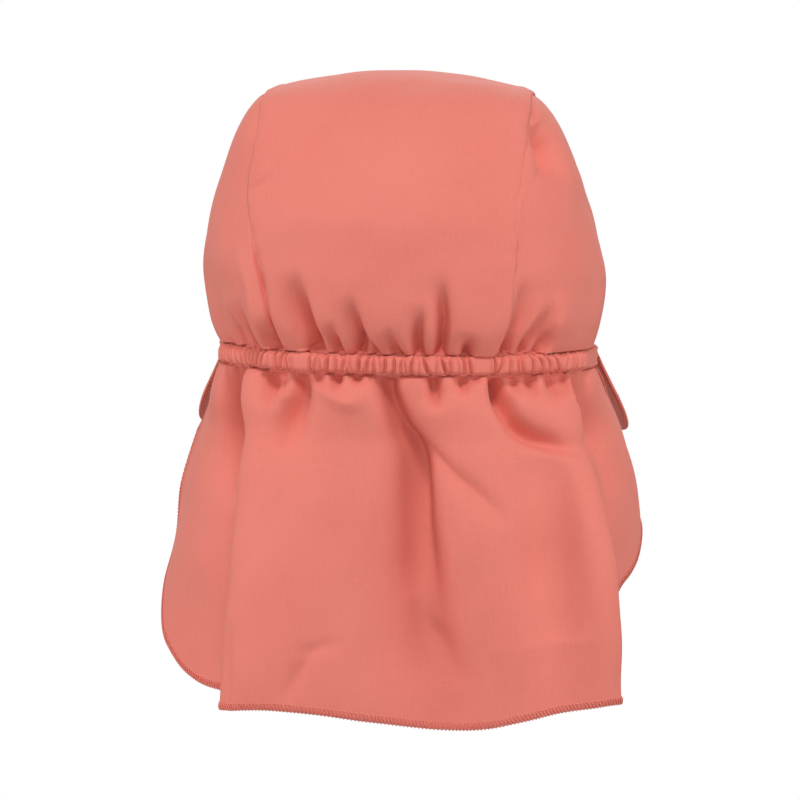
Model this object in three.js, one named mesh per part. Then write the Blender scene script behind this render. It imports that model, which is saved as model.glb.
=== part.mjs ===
// A small child's sun cap with a gathered neck flap, in millimetres, +Z up.
// The peak faces -Y, the nape +Y and the wearer's left +X. The origin is the centre of the
// head opening, half way up the band, where a head carries the cap.
import * as THREE from 'three';

// The band round the head opening, an ellipse seen from above
const BAND_HALF_WIDTH = 74;
const BAND_HALF_DEPTH = 86;
const BAND_HEIGHT = 7.8;
const SEAT_GAP = 0.3;

// Cloth walls
const CROWN_CLOTH = 1.3;
const FLAP_CLOTH = 1.2;
const PEAK_CLOTH = 1.8;

const degrees = THREE.MathUtils.degToRad;

// A point of the band's middle line. The angle runs from the nape, positive to the wearer's left.
function bandPoint(angle, outwards = 0, height = 0) {
  const x = BAND_HALF_WIDTH * Math.sin(degrees(angle));
  const y = BAND_HALF_DEPTH * Math.cos(degrees(angle));
  const normal = new THREE.Vector3(x / BAND_HALF_WIDTH ** 2, y / BAND_HALF_DEPTH ** 2, 0).normalize();
  return new THREE.Vector3(x, y, height).addScaledVector(normal, outwards);
}

// Monotone cubic through one column of a table, by its first column
function tableCurve(rows, key, column) {
  const slopes = rows.slice(1).map((row, i) => (row[column] - rows[i][column]) / (row[key] - rows[i][key]));
  const tangents = rows.map((row, i) => {
    if (i === 0) return slopes[0];
    if (i === rows.length - 1) return slopes[i - 1];
    const product = slopes[i - 1] * slopes[i];
    return product <= 0 ? 0 : (2 * product) / (slopes[i - 1] + slopes[i]);
  });
  return (value) => {
    const last = rows.length - 2;
    const i = Math.max(0, Math.min(last, rows.findIndex((row) => row[key] > value) - 1));
    const index = value >= rows[last + 1][key] ? last : i;
    const span = rows[index + 1][key] - rows[index][key];
    const t = THREE.MathUtils.clamp((value - rows[index][key]) / span, 0, 1);
    const rise = t * t * (3 - 2 * t);
    return rows[index][column] * (1 - rise) + rows[index + 1][column] * rise
      + span * t * (1 - t) * ((1 - t) * tangents[index] - t * tangents[index + 1]);
  };
}

const smoothStep = (from, to, value) => THREE.MathUtils.smoothstep(value, from, to);
const bump = (distance, width) => Math.exp(-((distance / width) ** 2));

// Closes a grid of points into a wall: the grid is the outer face, and the inner face lies
// one thickness behind it. The edge that is sewn at a level stays level through the cloth.
function clothWall(grid, thickness, sewnLevel = null) {
  const rows = grid.length;
  const columns = grid[0].length;
  const count = rows * columns;
  const normals = Array.from({ length: count }, () => new THREE.Vector3());
  const at = (i, j) => i * columns + j;
  const points = grid.flat();
  const facets = [];
  for (let i = 0; i < rows - 1; i += 1) {
    for (let j = 0; j < columns - 1; j += 1) {
      const corners = [at(i, j), at(i, j + 1), at(i + 1, j + 1), at(i + 1, j)];
      const nearDiagonal = points[corners[0]].distanceTo(points[corners[2]]);
      const farDiagonal = points[corners[1]].distanceTo(points[corners[3]]);
      const [a, b, c, d] = corners;
      facets.push(...(nearDiagonal <= farDiagonal ? [[a, b, c], [a, c, d]] : [[a, b, d], [b, c, d]]));
    }
  }
  for (const facet of facets) {
    const [a, b, c] = facet.map((index) => points[index]);
    const normal = b.clone().sub(a).cross(c.clone().sub(a));
    for (const index of facet) normals[index].add(normal);
  }
  const inner = points.map((point, i) => {
    const behind = point.clone().addScaledVector(normals[i].normalize(), -thickness);
    return point.z === sewnLevel ? behind.setZ(sewnLevel) : behind;
  });
  const border = [];
  for (let j = 0; j < columns - 1; j += 1) border.push(at(0, j));
  for (let i = 0; i < rows - 1; i += 1) border.push(at(i, columns - 1));
  for (let j = columns - 1; j > 0; j -= 1) border.push(at(rows - 1, j));
  for (let i = rows - 1; i > 0; i -= 1) border.push(at(i, 0));
  const triangles = [...facets, ...facets.map(([a, b, c]) => [c + count, b + count, a + count])];
  border.forEach((a, i) => {
    const b = border[(i + 1) % border.length];
    triangles.push([b, a, a + count], [b, a + count, b + count]);
  });
  const geometry = new THREE.BufferGeometry().setFromPoints([...points, ...inner]);
  geometry.setIndex(triangles.flat());
  geometry.computeVertexNormals();
  return geometry;
}

// A closed tube through a list of rings, each with the same number of points
function ringTube(rings) {
  const sides = rings[0].length;
  const triangles = [];
  for (let i = 0; i < rings.length - 1; i += 1) {
    for (let k = 0; k < sides; k += 1) {
      const a = i * sides + k;
      const b = i * sides + ((k + 1) % sides);
      triangles.push([a, b, b + sides], [a, b + sides, a + sides]);
    }
  }
  const last = (rings.length - 1) * sides;
  for (let k = 1; k < sides - 1; k += 1) {
    triangles.push([0, k + 1, k], [last, last + k, last + k + 1]);
  }
  const geometry = new THREE.BufferGeometry().setFromPoints(rings.flat());
  geometry.setIndex(triangles.flat());
  geometry.computeVertexNormals();
  return geometry;
}

// The crown. One row for each level of its form: the half width, the reach to the nape and to
// the forehead, and how square the level is seen from above (2 is an ellipse). The soft crown
// leans a little to the wearer's left as it rises.
const CROWN_FOOT = BAND_HEIGHT / 2 + SEAT_GAP;
const CROWN_TOP = 112;
const CROWN_LEAN = 4.6;
const CROWN_LEVELS = [
  { height: 0, width: 73.2, back: 85, front: 85.5, square: 2.0 },
  { height: 4.2, width: 73.6, back: 85.6, front: 86, square: 2.0 },
  { height: 14, width: 76.4, back: 91, front: 88, square: 2.05 },
  { height: 32, width: 79.6, back: 96, front: 90, square: 2.12 },
  { height: 50, width: 77, back: 95, front: 89, square: 2.2 },
  { height: 70, width: 70.8, back: 88.5, front: 84, square: 2.35 },
  { height: 90, width: 63.2, back: 74, front: 68, square: 2.7 },
  { height: 101, width: 56, back: 61, front: 54, square: 2.9 },
  { height: 106.5, width: 47.5, back: 48, front: 42, square: 2.7 },
  { height: 109.8, width: 31, back: 32, front: 28, square: 2.3 },
  { height: CROWN_TOP, width: 0, back: 0, front: 0, square: 2.2 },
];
const squared = CROWN_LEVELS.map((row) => (
  { ...row, width: row.width ** 2, back: row.back ** 2, front: row.front ** 2 }));
const crownWidth = tableCurve(squared, 'height', 'width');
const crownBack = tableCurve(squared, 'height', 'back');
const crownFront = tableCurve(squared, 'height', 'front');
const crownSquare = tableCurve(squared, 'height', 'square');

// Below zero inside the crown's outer form, above zero outside
function crownField(point) {
  if (point.z >= CROWN_TOP) return 1;
  const half = Math.sqrt(Math.max(1e-6, crownWidth(point.z)));
  const reach = Math.sqrt(Math.max(1e-6, (point.y > 0 ? crownBack : crownFront)(point.z)));
  const power = crownSquare(point.z);
  return (Math.abs(point.x) / half) ** power + (Math.abs(point.y) / reach) ** power - 1;
}

// Where a ray from inside meets the crown's outer form
const RAY_LENGTH = 160;
const HALVINGS = 40;

function crownHit(origin, direction) {
  let near = 0;
  let far = RAY_LENGTH;
  const point = new THREE.Vector3();
  for (let step = 0; step < HALVINGS; step += 1) {
    const middle = (near + far) / 2;
    point.copy(origin).addScaledVector(direction, middle);
    if (crownField(point) < 0) near = middle; else far = middle;
  }
  return point;
}

// Half the width of the centre panel, by height, at the back and at the front
const BACK_SEAM = [
  { height: 0, half: 37 }, { height: 5, half: 39.5 }, { height: 12, half: 43 }, { height: 22, half: 47 },
  { height: 32, half: 49.3 }, { height: 45, half: 51.3 }, { height: 70, half: 52.6 },
  { height: 95, half: 53.8 }, { height: CROWN_TOP, half: 54 },
];
const FRONT_SEAM = [
  { height: 0, half: 44 }, { height: 30, half: 49 }, { height: 60, half: 52 }, { height: 90, half: 53.6 },
  { height: CROWN_TOP, half: 54 },
];
const backSeam = tableCurve(BACK_SEAM, 'height', 'half');
const frontSeam = tableCurve(FRONT_SEAM, 'height', 'half');
const seamHalf = (point) => (point.y > 0 ? backSeam : frontSeam)(point.z);

// At the back the centre panel lies a little to the wearer's left, but not on top
const SEAM_SHIFT = 3.2;
const SHIFT_LEVELS = { whole: 70, none: 105 };
const seamShift = (point) => (
  point.y > 0 ? SEAM_SHIFT * smoothStep(-SHIFT_LEVELS.none, -SHIFT_LEVELS.whole, -point.z) : 0);

// The gathers that the casing pulls into the crown: where each one starts on the band and how
// far it leans by its top, both across the back, then how high it runs, how deep and how wide.
const CROWN_GATHERS = [
  { name: 'left outer', foot: 52.5, lean: 9, rise: 22, depth: 1.8, width: 4 },
  { name: 'left seam', foot: 42.5, lean: 5, rise: 20, depth: 2.4, width: 3.4 },
  { name: 'left main', foot: 26.5, lean: 11, rise: 36, depth: 3.4, width: 4.2 },
  { name: 'left short', foot: 18.2, lean: 5, rise: 13, depth: 2.0, width: 2.8 },
  { name: 'left middle', foot: 10.7, lean: 7, rise: 24, depth: 2.2, width: 3.2 },
  { name: 'middle', foot: -0.3, lean: 0, rise: 10, depth: 1.5, width: 5 },
  { name: 'right middle', foot: -8.5, lean: -1, rise: 19, depth: 2.4, width: 3 },
  { name: 'right tall', foot: -16.8, lean: -1, rise: 33, depth: 2.6, width: 3.4 },
  { name: 'right short', foot: -26.9, lean: 0, rise: 9, depth: 1.5, width: 3 },
  { name: 'right seam', foot: -36.5, lean: -12, rise: 32, depth: 2.5, width: 4 },
  { name: 'right outer', foot: -45.5, lean: -14, rise: 23, depth: 2.2, width: 4 },
];

// How far a row of gathers, sewn at one level, draws a point in
function gatherDepth(point, gathers, level) {
  if (point.y < 0) return 0;
  return gathers.reduce((sum, gather) => {
    const away = Math.abs(point.z - level) / gather.rise;
    if (away > 1) return sum;
    const offset = point.x - gather.foot - gather.lean * away;
    return sum + gather.depth * (1 - away) * smoothStep(-0.5, 0.25, away) * bump(offset, gather.width);
  }, 0);
}

// A point of the plain form, drawn in by the gathers and leaned with the soft crown
function settled(point, centre) {
  const inwards = centre.clone().sub(point).setX(0).normalize();
  const depth = gatherDepth(point, CROWN_GATHERS, CROWN_FOOT);
  const drawn = point.clone().addScaledVector(inwards, depth);
  return drawn.setX(drawn.x + CROWN_LEAN * smoothStep(CROWN_FOOT, CROWN_TOP, point.z));
}

// The centre panel: rows of points across it, from the nape over the top to the forehead
const STRIP_CENTRE = new THREE.Vector3(0, 0, 20);
const STRIP_ROWS = 36;
const STRIP_COLUMNS = 20;
const NAPE_CROWDING = 0.09;
const BROW_CROWDING = 0.02;
const SEAM_PASSES = 4;
const FOOT_PITCH_LOW = -0.6;
const FOOT_PITCH_HIGH = 0.2;

// The point of the centre panel at a pitch round the strip's centre, across from one seam
// (-1) to the other (1)
function stripPoint(pitch, across) {
  const direction = new THREE.Vector3(0, Math.cos(pitch), Math.sin(pitch));
  let point = crownHit(STRIP_CENTRE, direction);
  for (let pass = 0; pass < SEAM_PASSES; pass += 1) {
    const start = new THREE.Vector3(seamHalf(point) * across + seamShift(point), 0, STRIP_CENTRE.z);
    point = crownHit(start, direction).clone();
  }
  return point;
}

// The pitch at which a column of the strip comes down to the crown's foot
function footPitch(across, side) {
  let low = FOOT_PITCH_LOW;
  let high = FOOT_PITCH_HIGH;
  for (let step = 0; step < HALVINGS; step += 1) {
    const middle = (low + high) / 2;
    const pitch = side > 0 ? middle : Math.PI - middle;
    if (stripPoint(pitch, across).z > CROWN_FOOT) high = middle; else low = middle;
  }
  return side > 0 ? high : Math.PI - high;
}

function centrePanel() {
  const columns = [];
  for (let j = 0; j <= STRIP_COLUMNS; j += 1) {
    const across = 1 - (2 * j) / STRIP_COLUMNS;
    const start = footPitch(across, 1);
    const end = footPitch(across, -1);
    const column = [];
    for (let i = 0; i <= STRIP_ROWS; i += 1) {
      const share = i / STRIP_ROWS;
      const crowding = share < 0.5 ? NAPE_CROWDING : BROW_CROWDING;
      const eased = share - crowding * Math.sin(2 * Math.PI * share);
      const point = settled(stripPoint(start + (end - start) * eased, across), STRIP_CENTRE);
      column.push(i === 0 || i === STRIP_ROWS ? point.setZ(CROWN_FOOT) : point);
    }
    columns.push(column);
  }
  const rows = columns[0].map((_, i) => columns.map((column) => column[i]));
  return clothWall(rows, CROWN_CLOTH, CROWN_FOOT);
}

// A side panel: rows from the seam down to the band, between the seam's back foot and front foot
const SIDE_CENTRE = new THREE.Vector3(0, 0, 12);
const SIDE_ROWS = 10;
const SIDE_COLUMNS = 24;
const SIDE_END = 0.008;
const SIDE_EASE = 1.35;
const SIDE_MIDDLE = 50;
const SIDE_CLEAR = 1;

function sidePanel(side) {
  const seamStart = footPitch(side, 1);
  const seamEnd = footPitch(side, -1);
  const across = side * (1 + (2 * SEAT_GAP) / backSeam(SIDE_MIDDLE));
  const backReach = backSeam(CROWN_FOOT) + SIDE_CLEAR + side * SEAM_SHIFT;
  const frontReach = frontSeam(CROWN_FOOT) + SIDE_CLEAR;
  const backAngle = THREE.MathUtils.radToDeg(Math.asin(backReach / BAND_HALF_WIDTH));
  const frontAngle = 180 - THREE.MathUtils.radToDeg(Math.asin(frontReach / BAND_HALF_WIDTH));
  const rows = [];
  for (let i = 0; i <= SIDE_ROWS; i += 1) {
    const row = [];
    for (let j = 0; j <= SIDE_COLUMNS; j += 1) {
      const share = SIDE_END + (1 - 2 * SIDE_END) * (j / SIDE_COLUMNS) ** SIDE_EASE;
      const seam = stripPoint(seamStart + (seamEnd - seamStart) * share, across);
      const angle = backAngle + (frontAngle - backAngle) * share;
      const foot = bandPoint(side * angle, 0, CROWN_FOOT);
      const toSeam = seam.clone().sub(SIDE_CENTRE).normalize();
      const toFoot = foot.sub(SIDE_CENTRE).normalize();
      const direction = toSeam.lerp(toFoot, i / SIDE_ROWS).normalize();
      const point = settled(i === 0 ? seam : crownHit(SIDE_CENTRE, direction), SIDE_CENTRE);
      row.push(i === SIDE_ROWS ? point.setZ(CROWN_FOOT) : point);
    }
    rows.push(side > 0 ? row : row.reverse());
  }
  return clothWall(rows.reverse(), CROWN_CLOTH, CROWN_FOOT);
}

// The casing: a tube of cloth ruched over its elastic, flat where it is tacked beside each seam
const CASING_END = 72;
const CASING_DEPTH = 4.4;
const RUCHES = 28;
const RUCHE_SAMPLES = 3;
const RUCHE_HEIGHT = 0.75;
const TACK_ANGLE = 26.7;
const TACK_WIDTH = 2.6;
const PLAIN_END = 4;
const SECTION_SIDES = 8;
const SECTION_POWERS = { outwards: 0.6, upwards: 0.5 };

const signedPower = (value, power) => Math.sign(value) * Math.abs(value) ** power;

function bandSection(angle, halfHeight, halfDepth, swell) {
  return Array.from({ length: SECTION_SIDES }, (_, k) => {
    const turn = ((k + 0.5) / SECTION_SIDES) * 2 * Math.PI;
    const outwards = halfDepth * signedPower(Math.cos(turn), SECTION_POWERS.outwards);
    const height = halfHeight * signedPower(Math.sin(turn), SECTION_POWERS.upwards);
    return bandPoint(angle, outwards + (Math.cos(turn) > 0 ? swell : 0), height);
  });
}

function napeCasing() {
  const steps = RUCHES * RUCHE_SAMPLES;
  const flatAt = (angle) => Math.max(
    bump(Math.abs(angle) - TACK_ANGLE, TACK_WIDTH),
    smoothStep(CASING_END - PLAIN_END, CASING_END, Math.abs(angle)));
  const rings = Array.from({ length: steps + 1 }, (_, i) => {
    const angle = -CASING_END + (2 * CASING_END * i) / steps;
    const wave = Math.cos((2 * Math.PI * i) / RUCHE_SAMPLES);
    return bandSection(angle, BAND_HEIGHT / 2, CASING_DEPTH / 2, RUCHE_HEIGHT * wave * (1 - flatAt(angle)));
  });
  return ringTube(rings);
}

// The plain band goes on from the casing round the forehead
const BROW_DEPTH = 2.6;
const BROW_STEPS = 28;
const BROW_START = CASING_END + 0.25;

function browBand() {
  const rings = Array.from({ length: BROW_STEPS + 1 }, (_, i) => {
    const angle = BROW_START + ((360 - 2 * BROW_START) * i) / BROW_STEPS;
    return bandSection(angle, BAND_HEIGHT / 2, BROW_DEPTH / 2, 0);
  });
  return ringTube(rings);
}

// The neck flap. One row for each fold line, from the left front edge round the nape to the
// right: its angle on the band, its place half way down, and its place and height at the hem.
const FLAP_FOLDS = [
  { name: 'left front edge', angle: 88, half: [79, -6], hem: [86, -19], low: -34 },
  { name: 'left front curve', angle: 86.5, half: [84, -13], hem: [93.5, -29], low: -59 },
  { name: 'left corner upper', angle: 85, half: [86, -11], hem: [95.5, -25], low: -80 },
  { name: 'left corner', angle: 81, half: [88, -4], hem: [98.3, -11], low: -98 },
  { name: 'left corner lower', angle: 77, half: [88, 5], hem: [97.5, 2], low: -113 },
  { name: 'left side', angle: 72, half: [86, 15], hem: [92, 14], low: -122.5 },
  { name: 'left side inner', angle: 66, half: [76, 31], hem: [80, 29], low: -130 },
  { name: 'left valley wall', angle: 60, half: [64, 44], hem: [67, 43], low: -132 },
  { name: 'left valley', angle: 57, half: [54, 53], hem: [59, 54], low: -132.5 },
  { name: 'behind left fold', angle: 55, half: [55, 66], hem: [60, 68], low: -132.5 },
  { name: 'left fold', angle: 52, half: [61.8, 77], hem: [67, 79], low: -133.2 },
  { name: 'left face', angle: 47, half: [57, 84], hem: [62, 88], low: -133 },
  { name: 'left back', angle: 36, half: [42, 91], hem: [45, 95], low: -131.8 },
  { name: 'left crest', angle: 22, half: [26, 94], hem: [27, 98], low: -133.2 },
  { name: 'left of middle', angle: 10, half: [7, 93], hem: [5, 96], low: -135.6 },
  { name: 'middle valley', angle: -1, half: [-10, 83], hem: [-20, 91], low: -137.2 },
  { name: 'right of middle', angle: -12, half: [-26, 93], hem: [-37, 96], low: -135.6 },
  { name: 'right crest', angle: -24, half: [-42, 92], hem: [-50, 94], low: -133 },
  { name: 'right soft valley', angle: -36, half: [-59, 82], hem: [-64, 87], low: -130.5 },
  { name: 'right face', angle: -50, half: [-76, 79], hem: [-81, 80], low: -129 },
  { name: 'right fold', angle: -60, half: [-82, 70], hem: [-88.3, 69], low: -128.8 },
  { name: 'behind right fold', angle: -63, half: [-73, 60], hem: [-77, 59], low: -127 },
  { name: 'right valley', angle: -65, half: [-68, 50], hem: [-71, 48], low: -120 },
  { name: 'right valley wall', angle: -68, half: [-74, 38], hem: [-79, 35], low: -108 },
  { name: 'right side inner', angle: -72, half: [-81, 26], hem: [-87, 20], low: -92 },
  { name: 'right side', angle: -76, half: [-86, 13], hem: [-91.5, 8], low: -86.5 },
  { name: 'right corner lower', angle: -80, half: [-88, 4], hem: [-93.5, -2], low: -81 },
  { name: 'right corner', angle: -83, half: [-88, -5], hem: [-94, -14], low: -72 },
  { name: 'right corner upper', angle: -86, half: [-85.5, -13], hem: [-90, -27], low: -62 },
  { name: 'right front curve', angle: -87, half: [-83.5, -14], hem: [-87.5, -33], low: -48 },
  { name: 'right front edge', angle: -88, half: [-79, -7], hem: [-82.5, -22], low: -27 },
];
// The short gathers under the casing, in the same terms as the crown's
const FLAP_GATHERS = [
  { name: 'left outer', foot: 53, lean: 2, rise: 14, depth: 1.2, width: 3 },
  { name: 'left outer fold', foot: 45.6, lean: 0, rise: 14, depth: 1.2, width: 3 },
  { name: 'left hollow', foot: 35.3, lean: 5, rise: 30, depth: 3.2, width: 6 },
  { name: 'left short', foot: 21, lean: 0, rise: 12, depth: 1.2, width: 3 },
  { name: 'middle', foot: 2, lean: -9, rise: 50, depth: 3, width: 4.5 },
  { name: 'right of middle', foot: -14.5, lean: 0, rise: 12, depth: 1.2, width: 3 },
  { name: 'right short', foot: -25, lean: -2, rise: 12, depth: 1.2, width: 3 },
  { name: 'right crescent', foot: -35, lean: -16, rise: 30, depth: 4, width: 5 },
  { name: 'right outer', foot: -50, lean: -4, rise: 14, depth: 1.2, width: 3 },
];
const FLAP_TOP = -(BAND_HEIGHT / 2 + SEAT_GAP);
const FLAP_ROWS = 12;
const FLAP_ROW_EASE = 1.35;
const FLAP_STEP = 6.2;
const FLAP_SIDE_STEP = 9;
const FLAP_BACK = 70;

function neckFlap() {
  const top = new THREE.CatmullRomCurve3(FLAP_FOLDS.map((fold) => bandPoint(fold.angle, 0, FLAP_TOP)));
  const half = new THREE.CatmullRomCurve3(FLAP_FOLDS.map((fold) => (
    new THREE.Vector3(...fold.half, (FLAP_TOP + fold.low) / 2))));
  const hem = new THREE.CatmullRomCurve3(FLAP_FOLDS.map((fold) => new THREE.Vector3(...fold.hem, fold.low)));
  const last = FLAP_FOLDS.length - 1;
  const stations = [0];
  for (let i = 0; i < last; i += 1) {
    const from = hem.getPoint(i / last);
    const length = from.distanceTo(hem.getPoint((i + 1) / last));
    const step = from.y > FLAP_BACK ? FLAP_STEP : FLAP_SIDE_STEP;
    const steps = Math.max(2, Math.round(length / step));
    for (let k = 1; k <= steps; k += 1) stations.push((i + k / steps) / last);
  }
  const rows = [];
  for (let i = 0; i <= FLAP_ROWS; i += 1) {
    const v = (i / FLAP_ROWS) ** FLAP_ROW_EASE;
    rows.push(stations.map((u) => {
      const point = top.getPoint(u).multiplyScalar((1 - v) * (1 - 2 * v));
      point.addScaledVector(half.getPoint(u), 4 * v * (1 - v));
      point.addScaledVector(hem.getPoint(u), v * (2 * v - 1));
      return point.setY(point.y - gatherDepth(point, FLAP_GATHERS, FLAP_TOP));
    }));
  }
  return clothWall(rows.reverse(), FLAP_CLOTH, FLAP_TOP);
}

// The peak. One row for each station round the brow, by its angle from the middle of the
// forehead: how far it reaches and how steeply it droops. Its edge sways to the wearer's left.
const PEAK_STATIONS = [
  { angle: 0, reach: 62, droop: 24 },
  { angle: 20, reach: 60, droop: 26 },
  { angle: 40, reach: 55, droop: 36 },
  { angle: 55, reach: 46.5, droop: 50 },
  { angle: 65, reach: 36, droop: 59 },
  { angle: 75, reach: 22, droop: 64 },
  { angle: 82, reach: 3, droop: 68 },
];
const PEAK_ROOT_HEIGHT = 2.5;
const PEAK_ROOT_DROOP = 0.7;
const PEAK_ROOT_SHARE = 0.8;
const PEAK_SWAY = 1.2;
const PEAK_COLUMNS = 24;
const PEAK_ROWS = 6;

function peak() {
  const reachAt = tableCurve(PEAK_STATIONS, 'angle', 'reach');
  const droopAt = tableCurve(PEAK_STATIONS, 'angle', 'droop');
  const widest = PEAK_STATIONS[PEAK_STATIONS.length - 1].angle;
  const root = BROW_DEPTH / 2 + SEAT_GAP + PEAK_CLOTH * PEAK_ROOT_SHARE;
  const rows = [];
  for (let i = 0; i <= PEAK_ROWS; i += 1) {
    const row = [];
    for (let j = 0; j <= PEAK_COLUMNS; j += 1) {
      const fromFront = widest * (1 - (2 * j) / PEAK_COLUMNS);
      const angle = 180 - fromFront;
      const out = i / PEAK_ROWS;
      const length = reachAt(Math.abs(fromFront)) * out;
      const curl = PEAK_ROOT_DROOP + (1 - PEAK_ROOT_DROOP) * out;
      const droop = degrees(droopAt(Math.abs(fromFront))) * curl;
      const foot = bandPoint(angle, root, PEAK_ROOT_HEIGHT);
      const outwards = bandPoint(angle, root + 1, 0).sub(bandPoint(angle, root, 0));
      foot.addScaledVector(outwards, length * Math.cos(droop));
      foot.x += PEAK_SWAY * out;
      foot.z -= length * Math.sin(droop);
      row.push(foot);
    }
    rows.push(row);
  }
  return clothWall(rows, PEAK_CLOTH);
}

const cloth = (colour) => new THREE.MeshStandardMaterial({ color: colour, roughness: 0.78, metalness: 0 });

const sunCap = new THREE.Group();
sunCap.name = 'sun_cap';

function addPiece(name, geometry, colour) {
  const mesh = new THREE.Mesh(geometry, cloth(colour));
  mesh.name = name;
  sunCap.add(mesh);
}

addPiece('crown_centre_panel', centrePanel(), 0xe68174);
addPiece('crown_side_panel_left', sidePanel(1), 0xe27d70);
addPiece('crown_side_panel_right', sidePanel(-1), 0xe27d70);
addPiece('nape_casing', napeCasing(), 0xdf7568);
addPiece('brow_band', browBand(), 0xdf7568);
addPiece('neck_flap', neckFlap(), 0xe68174);
addPiece('peak', peak(), 0xe27d70);

export default sunCap;
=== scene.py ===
import math
import bpy
import numpy as np
from mathutils import Matrix, Vector


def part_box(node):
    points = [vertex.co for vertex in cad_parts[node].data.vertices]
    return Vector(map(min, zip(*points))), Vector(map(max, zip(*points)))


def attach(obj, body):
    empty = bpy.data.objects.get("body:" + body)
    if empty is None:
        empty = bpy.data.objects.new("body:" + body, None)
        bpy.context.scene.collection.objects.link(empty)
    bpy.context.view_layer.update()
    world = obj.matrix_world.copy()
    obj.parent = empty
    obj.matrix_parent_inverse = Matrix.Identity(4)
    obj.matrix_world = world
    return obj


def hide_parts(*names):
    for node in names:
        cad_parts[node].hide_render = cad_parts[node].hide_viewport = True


# A small child's sun cap of thin coral cotton, as it stands on a head and seen from behind.
# Tables give millimetres and every mesh is made in metres. +Y is the nape, -Y the peak and
# +X the wearer's left. Level zero is half way up the band round the head.
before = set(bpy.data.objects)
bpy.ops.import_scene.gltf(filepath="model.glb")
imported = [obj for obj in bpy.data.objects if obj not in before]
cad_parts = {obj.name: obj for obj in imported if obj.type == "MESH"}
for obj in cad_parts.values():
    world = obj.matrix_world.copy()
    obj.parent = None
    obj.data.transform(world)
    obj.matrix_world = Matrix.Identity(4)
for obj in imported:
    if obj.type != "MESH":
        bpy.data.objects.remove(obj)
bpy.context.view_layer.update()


# Nape casing: a tube of the cap's own cloth over a 6 mm elastic, sewn between the crown and
# the neck flap from temple to temple. The elastic pulls it into short upright ruches, and it
# lies flat at two tacks and at its ends.
MM = 0.001
COTTON_CORAL = (0.745, 0.196, 0.150)
BAND_HALF_WIDTH = 74.0
BAND_HALF_DEPTH = 86.0
BAND_HEIGHT = (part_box("nape_casing")[1].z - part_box("nape_casing")[0].z) / MM
BAND_STEP = math.radians(BAND_HALF_WIDTH + BAND_HALF_DEPTH) / 2
CASING_END = 72.0
CASING_COLUMNS = 760
CASING_OUTSIDE = 20
CASING_INSIDE = 6
CASING_DEPTH = 2.2
RUCHE_PUFF = 1.8
RUCHE_WIDTH = 0.6
STITCH_LEVEL = 0.9
# Each run of ruches: angle from the nape, slant and depth, from the wearer's left to the right.
RUCHE_RUNS = [
    {"name": "left of the tack", "start": 70, "end": 32.6, "ruches": [
        (67.3, 0, 0.6), (64.5, 0.3, 0.8), (61.8, 0.8, 0.9), (59.3, 1.2, 0.9), (56.6, 1, 1), (53.5, 1, 1),
        (50.8, 0.4, 1), (48.8, 0.2, 0.9), (47.2, -0.4, 0.7), (45.4, -0.9, 1), (43.3, -0.8, 1), (40.6, 0.3, 0.4),
        (37.7, 0.2, 1), (35.4, -0.5, 0.8), (33.6, 0.4, 0.9)]},
    {"name": "between the tacks", "start": 26, "end": -21.8, "ruches": [
        (25.6, 0, 0.9), (23.6, -0.5, 0.6), (22.2, 0.4, 0.5), (20, -0.1, 1), (17.2, 0.2, 0.6), (15, -0.5, 0.7),
        (12.8, 0.3, 0.4), (10.5, 0, 1), (8, -0.3, 0.8), (6.2, 0.1, 0.6), (4.4, 0.2, 0.4), (3.1, -0.1, 0.9),
        (0.5, 0.1, 0.8), (-1.5, -0.2, 0.6), (-2.7, 0.2, 0.5), (-4.4, -0.4, 0.8), (-6.4, 0, 0.3),
        (-8.4, 0.8, 1), (-11.4, -0.3, 0.4), (-13.5, 0.8, 1), (-15.3, 0, 0.6), (-17.4, 0.3, 0.3),
        (-19.3, 0.2, 0.8), (-21.1, 0.5, 0.8)]},
    {"name": "right of the tack", "start": -28.4, "end": -66, "ruches": [
        (-28.8, 0.1, 0.9), (-30.6, -0.95, 0.8), (-33.5, -0.1, 0.6), (-36.5, 0.2, 0.7), (-37.9, 0.4, 0.8),
        (-41.6, 0.3, 1), (-44.9, 0.9, 0.9), (-47.9, 0.9, 0.9), (-51.5, 1.2, 0.9), (-55.8, -0.7, 0.6),
        (-59.2, 0.5, 0.5), (-61.7, -0.4, 0.4), (-64.5, 0.3, 0.3)]},
]
RUCHE_BOW = 0.5
WRINKLES_PER_RUCHE = 1.5


def smooth_step(start, end, value):
    """Rises smoothly from 0 at the start to 1 at the end."""
    share = np.clip((value - start) / (end - start), 0, 1)
    return share * share * (3 - 2 * share)


def bump(distance, width):
    return np.exp(-((distance / width) ** 2))


def band_point(angle, outwards=0.0, height=0.0):
    """Places on the band's middle line, by their angle from the nape."""
    turn = np.radians(angle)
    x, y = BAND_HALF_WIDTH * np.sin(turn), BAND_HALF_DEPTH * np.cos(turn)
    away_x, away_y = x / BAND_HALF_WIDTH**2, y / BAND_HALF_DEPTH**2
    share = outwards / np.hypot(away_x, away_y)
    return np.stack(np.broadcast_arrays(x + share * away_x, y + share * away_y, height), -1)


def band_angle(places):
    return np.degrees(np.arctan2(places[..., 0] / BAND_HALF_WIDTH, places[..., 1] / BAND_HALF_DEPTH))


def laid_ruches():
    """The ruches across the casing, and the small wrinkles that start from one edge only."""
    chance = np.random.default_rng(11)
    ruches = []
    for run in RUCHE_RUNS:
        for angle, slant, depth in run["ruches"]:
            bow = chance.uniform(-RUCHE_BOW, RUCHE_BOW)
            ruches.append({"angle": angle, "slant": slant, "bow": bow, "depth": depth, "edge": 0})
        for _ in range(round(WRINKLES_PER_RUCHE * len(run["ruches"]))):
            ruches.append({
                "angle": chance.uniform(run["end"], run["start"]),
                "slant": chance.uniform(-0.8, 0.8),
                "bow": 0,
                "depth": chance.uniform(0.3, 0.6),
                "edge": chance.choice([-1, 1]),
            })
    return ruches


RUCHES = laid_ruches()


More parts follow.
